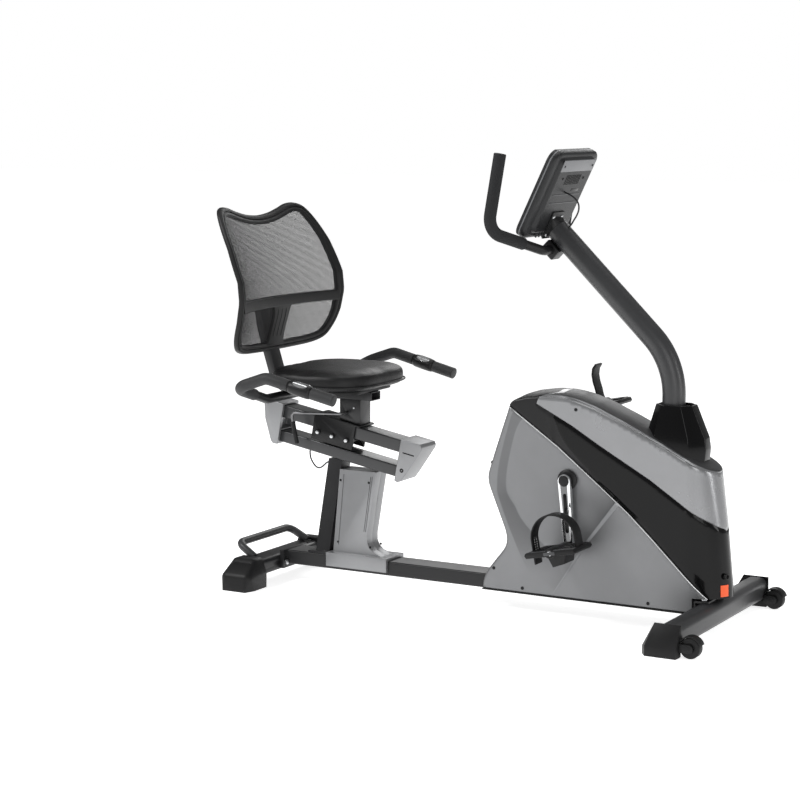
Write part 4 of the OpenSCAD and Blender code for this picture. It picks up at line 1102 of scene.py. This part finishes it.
LEVER = [(-428, -14, 492), (-428, -62, 492), (-588, -62, 484), (-570, -62, 398)]
rod = sweep("lever_rod", "lever", "steel", "lever_steel", rounded_path(LEVER, 10, 3), 4, 20)
sleeve = sweep("lever_sleeve", "lever", "rubber_black", "rubber",
               [lerp(LEVER[2], LEVER[3], t) for t in (0.28, 0.3, 0.6, 0.97, 1.0)], 6.2, 24)
join("lever_set", [rod, sleeve], "lever", "steel", replaces="slide_lever")

CONSOLE_CABLE = [
    (226.3, -20, 1114.9), (235, -20, 1111), (246, -20, 1106), (259, -20, 1097),
    (267, -19, 1084), (267, -17, 1069), (260, -14, 1054), (250, -10, 1041),
    (241, -5, 1030.2), (234.8, -3, 1023.9)]
SENSOR_CABLE = [
    (-552, -20, 376), (-553, -20, 369), (-551, -20, 354), (-544, -20, 341),
    (-535, -20, 331), (-525, -20, 327), (-515, -20, 330), (-505, -20, 338),
    (-498, -20, 344), (-491.2, -20, 347)]
for name, route, node in (("console_lead", CONSOLE_CABLE, "console_cable"),
                          ("sensor_lead", SENSOR_CABLE, "sensor_cable")):
    sweep(name, "frame", "cable_rubber", "cable", catmull(route, 5), 2.2, 14, replaces=node)

# ---------- seat cushion ----------

SEAT_X, SEAT_LONG, SEAT_HALF = -472, 160, 188


def seat_line(k, z, n=96):
    """The cushion's outline at height z, drawn in by k."""
    out = []
    for i in range(n):
        a = 2 * math.pi * i / n
        c, s = math.cos(a), math.sin(a)
        out.append((SEAT_X + k * SEAT_LONG * math.copysign(abs(c) ** 0.625, c),
                    k * SEAT_HALF * math.copysign(abs(s) ** 0.625, s), z))
    return out


def swell(obj, cap, pressure=4.0):
    """Fills a soft solid by cloth simulation, with a cap on how far a point may move."""
    remesh = obj.modifiers.new("remesh", "REMESH")
    remesh.mode, remesh.voxel_size = "VOXEL", 0.006
    apply_modifiers(obj)
    start = [v.co.copy() for v in obj.data.vertices]
    cloth = obj.modifiers.new("cloth", "CLOTH")
    cloth.settings.use_pressure = True
    cloth.settings.uniform_pressure_force = pressure
    cloth.settings.effector_weights.gravity = 0
    cloth.point_cache.frame_start, cloth.point_cache.frame_end = 1, 20
    for f in range(1, 21):
        scene.frame_set(f)
    apply_modifiers(obj)
    scene.frame_set(1)
    for v, p in zip(obj.data.vertices, start):
        move = v.co - p
        if move.length > cap:
            v.co = p + move * (cap / move.length)


def seat_cushion():
    levels = [(567, 0.92), (568, 0.955), (573, 0.978), (584, 0.986), (598, 0.983), (606, 0.965), (611, 0.93),
              (614, 0.86), (616, 0.7), (616.5, 0.45), (616, 0.2), (615.8, 0.03)]
    pad = loft("cushion", "carriage", "vinyl", "vinyl", [seat_line(k, z) for z, k in levels],
               replaces="seat_cushion")
    swell(pad, 0.004)
    sub = pad.modifiers.new("sub", "SUBSURF")
    sub.levels = sub.render_levels = 1
    apply_modifiers(pad)
    for v in pad.data.vertices:
        v.co.z = max(v.co.z, 0.5662)
    smooth_by(pad.data, 60)
    piping = seat_line(0.988, 577)
    bead = sweep("cushion_piping", "carriage", "vinyl", "stitch", piping + [piping[0]], 2.6, 12, caps="flat")
    bead.data.materials[0] = M["vinyl"]


seat_cushion()

# ---------- back rest ----------

BACK_HALF = [(0, 1029), (60, 1034), (110, 1045), (150, 1056), (185, 1058), (215, 1046), (238, 1010),
             (254, 960), (263, 905), (266, 860), (266, 800), (262, 740), (250, 700), (225, 670),
             (180, 656), (100, 650), (0, 648)]
BACK_LINE = [(640, -686), (700, -672), (750, -657), (806, -647), (860, -652), (950, -688), (1060, -746)]
FRAME_DEEP = 18


def back_x(y, z):
    """Where the back rest's front face lies."""
    return float(np.interp(z, [p[0] for p in BACK_LINE], [p[1] for p in BACK_LINE])) + 38 * (y / 260) ** 2


def back_outline():
    """The smooth outer outline in Y and Z, anticlockwise."""
    right = [np.array(p, float) for p in BACK_HALF]
    left = [np.array((-p[0], p[1])) for p in reversed(BACK_HALF[1:-1])]
    loop = right + left
    n = len(loop)
    out = []
    for i in range(n):
        a, b, c, d = loop[i - 1], loop[i], loop[(i + 1) % n], loop[(i + 2) % n]
        out += [spline(a, b, c, d, k / 5) for k in range(5)]
    return out


OUTLINE = back_outline()


def rim(name, profile, mat):
    """A moulding round the outline: profile gives (distance inwards, depth behind the front)."""
    n = len(OUTLINE)
    rings = []
    for i in range(n):
        ahead = OUTLINE[(i + 2) % n] - OUTLINE[i - 2]
        ahead /= np.linalg.norm(ahead)
        inward = np.array((ahead[1], -ahead[0]))
        if inward @ (np.array((0, 850)) - OUTLINE[i]) < 0:
            inward = -inward
        ring = []
        for u, d in profile:
            y, z = OUTLINE[i] + inward * u
            ring.append((back_x(y, z) - d, y, z))
        rings.append(ring)
    return loft(name, "carriage", "black_plastic", mat, rings + [rings[0]], caps=(False, False), smooth=45)


RIM = [(0, 9), (0.5, 4.5), (2.2, 1.4), (4.6, 0.1), (8.2, 0.0), (10.6, 0.5), (11.8, 2.6), (13.6, 2.6), (14.8, 0.5),
       (17.2, 0.0), (21.4, 0.2), (24.2, 1.6), (25.7, 4.6), (26, 9), (25.6, 13.6), (23.6, 16.6), (20, 18), (6, 18),
       (2.2, 16.6), (0.5, 13.6)]


def rounded_strip(half, deep, r=4):
    """A rounded rectangle as (offset, depth) pairs."""
    out = []
    for cx, cz, a0 in [(half - r, r, -90), (half - r, deep - r, 0), (-half + r, deep - r, 90),
                       (-half + r, r, 180)]:
        for k in range(5):
            a = math.radians(a0 + 22.5 * k)
            out.append((cx + r * math.cos(a), cz + r * math.sin(a)))
    return out


def back_frame():
    parts = [rim("back_rim", RIM, "black_plastic")]
    strip = rounded_strip(15, FRAME_DEEP)
    rows = [[(back_x(y, 791) - d, y, 791 + o) for o, d in strip] for y in np.linspace(-250, 250, 41)]
    parts.append(loft("lumbar_bar", "carriage", "black_plastic", "black_plastic", rows, smooth=45))
    rows = []
    for z in np.linspace(664, 780, 15):
        half = 38 + 10 * max(0, (z - 735) / 45) ** 2 + 8 * max(0, (700 - z) / 36) ** 2
        rows.append([(back_x(o, z) - d, o, z) for o, d in rounded_strip(half, FRAME_DEEP, 4)])
    parts.append(loft("back_support", "carriage", "black_plastic", "black_plastic", rows, smooth=45))
    # raised ribs on the centre support
    for y in (-20, 0, 20):
        rows = [[(back_x(y, z) + 1.6 * math.cos(a), y + 2.2 * math.sin(a), z)
                 for a in np.linspace(0, 2 * math.pi, 12, False)] for z in np.linspace(690, 768, 9)]
        parts.append(loft("support_rib", "carriage", "black_plastic", "black_plastic", rows, smooth=60))
    join("back_frame_set", parts, "carriage", "black_plastic", replaces="back_frame")


def within(y, z, inset):
    """Whether a place is inside the outline by at least inset."""
    p = np.array((y, z))
    odd = False
    near = 1e9
    n = len(OUTLINE)
    for i in range(n):
        a, b = OUTLINE[i], OUTLINE[(i + 1) % n]
        if (a[1] > z) != (b[1] > z) and y < a[0] + (z - a[1]) / (b[1] - a[1]) * (b[0] - a[0]):
            odd = not odd
        near = min(near, float(np.hypot(*(p - a))))
    return odd and near > inset


def back_mesh(pitch=3.2, wide=1.75, inset=18, step=9.0):
    """Flat threads both ways, tight over the frame's opening, in one layer."""
    verts, faces = [], []
    area = 0.0

    def thread(points, side):
        nonlocal area
        base = len(verts)
        for y, z in points:
            for s in (-wide / 2, wide / 2):
                verts.append(at(back_x(y, z) - 6.5, y + side[0] * s, z + side[1] * s))
        for i in range(len(points) - 1):
            a = base + 2 * i
            faces.append([a, a + 1, a + 3, a + 2])
            area += (verts[a] - verts[a + 2]).length * wide * MM

    ys = np.arange(-250, 250.1, step)
    zs = np.arange(650, 1056.1, step)
    inside = {(i, j): within(y, z, inset) for i, y in enumerate(ys) for j, z in enumerate(zs)}

    def runs(flags):
        start = None
        for k, on in enumerate(list(flags) + [False]):
            if on and start is None:
                start = k
            if not on and start is not None:
                if k - start > 1:
                    yield start, k
                start = None

    for y in np.arange(-248, 248.1, pitch):
        i = int(round((y - ys[0]) / step))
        for a, b in runs([inside.get((i, j), False) for j in range(len(zs))]):
            thread([(y, zs[k]) for k in range(a, b)], (1, 0))
    for z in np.arange(652, 1054.1, pitch):
        j = int(round((z - zs[0]) / step))
        for a, b in runs([inside.get((i, j), False) for i in range(len(ys))]):
            thread([(ys[k], z) for k in range(a, b)], (0, 1))
    net = piece("back_net", "carriage", "mesh", "thread", verts, faces, 60, replaces="back_mesh")


back_frame()
back_mesh()


# ---------- console back ----------

LEAN, CONSOLE_FOOT = math.radians(25.6), (134, 1006)


def con(x, y, z):
    """From the console's own frame, x behind its face and z up it, to the drawing."""
    x0, z0 = CONSOLE_FOOT
    return (x0 + x * math.cos(LEAN) + z * math.sin(LEAN), y, z0 - x * math.sin(LEAN) + z * math.cos(LEAN))


def plate_ring(x, half, z0, z1, r):
    """A rounded rectangle across the console at depth x."""
    out = []
    for cy, cz, a0 in [(half - r, z1 - r, 0), (-half + r, z1 - r, 90), (-half + r, z0 + r, 180),
                       (half - r, z0 + r, 270)]:
        for k in range(9):
            a = math.radians(a0 + 11.25 * k)
            out.append(con(x, cy + r * math.cos(a), cz + r * math.sin(a)))
    return out


def console_box(name, lo, hi, mat, bevel=0.8, slot="charcoal_plastic"):
    return box_piece(name, "frame", slot, mat, lo, hi, bevel, con)


SHELL = [(8, 129, 1, 243, 29), (10, 130, 0, 244, 30), (20, 130, 0, 244, 30), (24, 127, 3, 241, 28),
         (26, 121, 8, 237, 26), (26.6, 104, 17, 233, 25), (33, 100, 20, 231, 23), (35.4, 97, 23, 228, 21),
         (36, 93, 27, 224, 18)]
shell = [loft("console_shell", "frame", "charcoal_plastic", "charcoal", [plate_ring(*row) for row in SHELL],
              smooth=50)]
# grey band along the top, a light line round the joint, and the moulded details of the back
shell.append(console_box("console_band", (34, -96, 196), (36.8, 96, 229), "console_band", 2.0))
shell.append(loft("console_line", "frame", "charcoal_plastic", "console_band",
                  [plate_ring(8.4, 130.4, -0.4, 244.4, 30.4), plate_ring(10.6, 130.8, -0.8, 244.8, 30.8),
                   plate_ring(12.0, 130.3, -0.3, 244.3, 30.3)], caps=(False, False), smooth=60))
for y in np.linspace(-40, 40, 11):
    shell.append(console_box("console_vent", (35.6, y - 1.5, 158), (37.2, y + 1.5, 186), "gloss_black", 0.5))
shell.append(console_box("console_slot", (35.5, 18, 138), (36.4, 62, 146), "gloss_black", 0.3))
for y in np.linspace(-54, 54, 7):
    shell.append(console_box("console_rib", (26, y - 1.6, 3), (31, y + 1.6, 18), "charcoal_light", 0.6))
for z in (104, 128):
    shell.append(console_box("console_ridge", (35.6, -80, z), (37.0, 80, z + 3), "charcoal_light", 0.6))
join("console_shell_set", shell, "frame", "charcoal_plastic", replaces="console_back")


BEHIND = (math.cos(LEAN), 0, -math.sin(LEAN))


heads = []
for y, z in [(-84, 212), (84, 212), (-84, 40), (84, 40), (-62, 176), (62, 176)]:
    heads.append(screw("console_screw", "frame", con(36.4, y, z), BEHIND, 3.6, height=1.6))
join("console_screw_set", heads, "frame", "black_screw")
bolts = []
for y, z in [(-24, 66), (24, 66), (-24, 16), (24, 16)]:
    bolts.append(lathe("bracket_bolt", "frame", "zinc_bolt", "zinc", con(40.2, y, z), BEHIND,
                       [(5.2, -0.5), (5.2, 1.6), (4.2, 3.2), (2.6, 3.8), (2.4, 1.8), (0.1, 1.8)], 24))
join("bracket_bolt_set", bolts, "frame", "zinc_bolt")

# face of the console: a glossy bezel round the window
face = [console_box("console_bezel", (-0.9, y0, z0), (-0.1, y1, z1), "gloss_black", 0.3, "gloss_black")
        for y0, y1, z0, z1 in [(-112, 112, 96, 104), (-112, 112, 210, 226), (-112, -78, 104, 210),
                               (78, 112, 104, 210)]]
join("console_bezel_set", face, "frame", "gloss_black")

# ---------- rails and post ----------

TILT, RAIL_MID = math.radians(10.5), (-450, 446.5)


def rail(x, y, z):
    """From the rails' frame to the drawing."""
    x0, z0 = RAIL_MID
    return (x0 + x * math.cos(TILT) + z * math.sin(TILT), y, z0 - x * math.sin(TILT) + z * math.cos(TILT))


for node in ("rail_cap_front", "rail_cap_rear"):
    refined(node, "silver_plastic", 5.0, 4, 30)
for node in ("post_cover_right", "post_cover_left"):
    refined(node, "silver_plastic", 3.0, 3, 30)
refined("stabiliser_bolts", "zinc", 0.6)

marks = []
for y in (-1, 1):
    marks.append(box_piece("cap_slot", "frame", "gloss_black", "gloss_black", (214, y * 42 - 0.4, -14),
                           (250, y * 42 + 0.4, -10.5), 0.2, rail))
    marks.append(lathe("cap_hole", "frame", "gloss_black", "gloss_black", rail(220, y * 42, -62), (0, y, 0),
                       [(6, -0.4), (6, 0.3), (5, 0.4), (0.1, -0.2)], 24))
join("cap_mark_set", marks, "frame", "gloss_black")

ridges = []
for y in (-1, 1):
    for x0, x1, z0, z1 in [(-455, -436, 116, 318), (-367, -344, 160, 318), (-372, -349, 160, 318)]:
        foot, head = np.array((x0, y * 30.2, z0)), np.array((x1, y * 30.2, z1))
        line = [foot + (head - foot) * t for t in np.linspace(0, 1, 5)]
        ridges.append(sweep("post_ridge", "frame", "silver_plastic", "silver_dark", line, 1.0, 8))
join("post_ridge_set", ridges, "frame", "silver_plastic")
pins = []
for y in (-1, 1):
    for x, z in [(-447, 300), (-456, 124), (-356, 300), (-352, 118)]:
        pins.append(screw("post_screw", "frame", (x, y * 30.1, z), (0, y, 0), 3.4, height=1.4))
join("post_screw_set", pins, "frame", "black_screw")

bright = []
for y in (-1, 1):
    for x in (-62, -15, 32):
        bright.append(lathe("roller_nut", "carriage", "zinc_bolt", "zinc", rail(x, y * 41, -26.6), (0, y, 0),
                            [(5.5, -0.5), (5.5, 1.8), (4.8, 2.6), (3, 2.8), (2.8, 4.0), (0.1, 4.2)], 6))
    bright.append(lathe("stem_bolt", "carriage", "zinc_bolt", "zinc", (-405, y * 28, 506), (0, y, 0),
                        [(2.6, -0.5), (2.6, 0.8), (1.8, 1.3), (0.1, 1.4)], 20))
join("carriage_bolt_set", bright, "carriage", "zinc_bolt")

# ---------- crank, pedals and straps ----------

ARM_TURN, PEDAL_TILT = math.radians(-84.8), math.radians(-11)
CRANK, CRANK_LONG, PEDAL_OUT = np.array((270.0, 370.0)), 170, 160
ARM = np.array((math.cos(ARM_TURN), math.sin(ARM_TURN)))
ARM_SIDE = np.array((-ARM[1], ARM[0]))


def on_arm(s, along, across):
    """A place on a crank arm in X and Z; s is -1 for the right arm and 1 for the left."""
    return tuple(CRANK - s * (ARM * along + ARM_SIDE * across))


trim = []
for s in (-1, 1):
    slot_line = []
    for centre, a0 in [(132, 0), (38, 180)]:
        for k in range(9):
            a = math.radians(a0 - 90 + 22.5 * k)
            slot_line.append(on_arm(s, centre + 5 * math.cos(a), 5 * math.sin(a)))
    y0, y1 = sorted((s * 97.4, s * 98.5))
    trim.append(slab_piece("arm_slot", "crank", "chrome_arm", "gloss_black", slot_line, y0, y1, 0.2))
    trim.append(lathe("arm_cap", "crank", "chrome_arm", "gloss_black", (270, s * 98, 370), (0, s, 0),
                      [(14.5, -1), (14.5, 1.2), (12.5, 3.2), (5, 3.8), (0.1, 3.9)], 32))
    trim[-1].data.materials[0] = M["satin_black"]
join("arm_trim_set", trim, "crank", "chrome_arm")
for s in (-1, 1):
    side_name = "right" if s < 0 else "left"
    lathe("boss_" + side_name, "frame", "black_plastic", "satin_black", (270, s * 75, 370), (0, s, 0),
          [(27, -1), (27, 3), (25, 5), (20, 6), (14, 6), (14, 1)], 44)


def at_pedal(s):
    """From a pedal's own frame to the drawing."""
    x0, z0 = CRANK - s * ARM * CRANK_LONG
    c, t = math.cos(PEDAL_TILT), math.sin(PEDAL_TILT)
    return lambda x, y, z: (x0 + x * c + z * t, s * PEDAL_OUT + y, z0 - x * t + z * c)


for s, body in ((-1, "pedal_r"), (1, "pedal_l")):
    to = at_pedal(s)
    side_name = "right" if s < 0 else "left"
    treads = [box_piece("tread", body, "black_plastic", "charcoal_light", (-62, y - 3.5, 6), (62, y + 3.5, 7.6),
                        0.7, to) for y in (-49, 49)]
    for x in np.linspace(-50, 50, 9):
        treads.append(box_piece("tread_bar", body, "black_plastic", "black_plastic", (x - 2, -45, 6),
                                (x + 2, 45, 7.4), 0.6, to))
    for y in (-55, 55):
        treads.append(box_piece("reflector", body, "black_plastic", "charcoal_light", (-16, y - 0.8, -5),
                                (16, y + 0.8, 3.5), 0.5, to))
    join("tread_set_" + side_name, treads, body, "black_plastic")
    dots = []
    if s < 0:
        for k in range(9):
            for y in (-6, 6):
                for x, way in ((-59.9, 1), (-64.1, -1)):
                    spot = to(x, y, 2 + 6.2 * k)
                    ahead = np.array(to(x + way, y, 2 + 6.2 * k)) - np.array(spot)
                    dots.append(lathe("strap_hole", body, "rubber_black", "white_hole", spot, ahead,
                                      [(2.1, -0.3), (2.1, 0.25), (0.1, 0.25)], 14))
        join("strap_hole_set", dots, body, "rubber_black")

# ---------- sticker on the nose ----------

verts, faces = [], []
for z in (98, 112, 128):
    for k in range(9):
        a = math.radians(57 + 2.2 * k)
        verts.append(at(600 + (103.2 - (z - 98) * 0.035) * math.sin(a), -76.0 * math.cos(a), z))
for j in range(2):
    for k in range(8):
        i = j * 9 + k
        faces.append([i, i + 1, i + 10, i + 9])
piece("nose_sticker", "frame", "gloss_black", "sticker", verts, faces, 60)


# ---------- remaining drawing parts ----------

CAD_LOOK = {
    "beam_paint": "main_beam rear_stabiliser",
    "stab_paint": "front_stabiliser rear_handle",
    "black_plastic": "front_caps rear_caps resistance_motor dc_socket seat_pan back_frame "
                     "drive_pulley pedal_right pedal_left idler_pulley",
    "zinc": "stabiliser_bolts",
    "frame_paint": "seat_post inner_frame mast console_bracket handlebar slider seat_frame side_bar",
    "silver_plastic": "post_cover_right post_cover_left rail_cap_front rail_cap_rear",
    "rail_paint": "lower_rail upper_rail",
    "gloss_black": "mast_collar dial front_band",
    "charcoal": "console_back console_face",
    "lens": "display_lens",
    "foam": "bar_grips side_grips",
    "steel": "flywheel_axle crank_bearings slide_lever crank_axle magnet_bracket",
    "rubber": "belt strap_right strap_left wheel_right wheel_left",
    "cable": "console_cable sensor_cable",
    "vinyl": "seat_cushion",
    "thread": "back_mesh",
    "chrome": "pulse_sensors crank_arms",
    "iron": "flywheel",
    "charcoal_light": "key_start key_reset",
    "panel_plastic": "housing_right housing_left",
    "gloss_silver": "top_cover",
    "screw": "housing_screws",
}
for look_name, names in CAD_LOOK.items():
    for name in names.split():
        paint(nodes[name], look_name)

# ---------- floor ----------

mesh = bpy.data.meshes.new("floor")
mesh.from_pydata([(-30, -30, 0), (30, -30, 0), (30, 30, 0), (-30, 30, 0)], [], [(0, 1, 2, 3)])
floor = bpy.data.objects.new("floor", mesh)
scene.collection.objects.link(floor)
floor_look = material("floor_look", (0.86, 0.86, 0.86), 0.75, vary=0.006, bump=0.0)
glow = floor_look.node_tree.nodes["Principled BSDF"]
glow.inputs["Emission Color"].default_value = (1, 1, 1, 1)
glow.inputs["Emission Strength"].default_value = 0.78
floor.data.materials.append(floor_look)
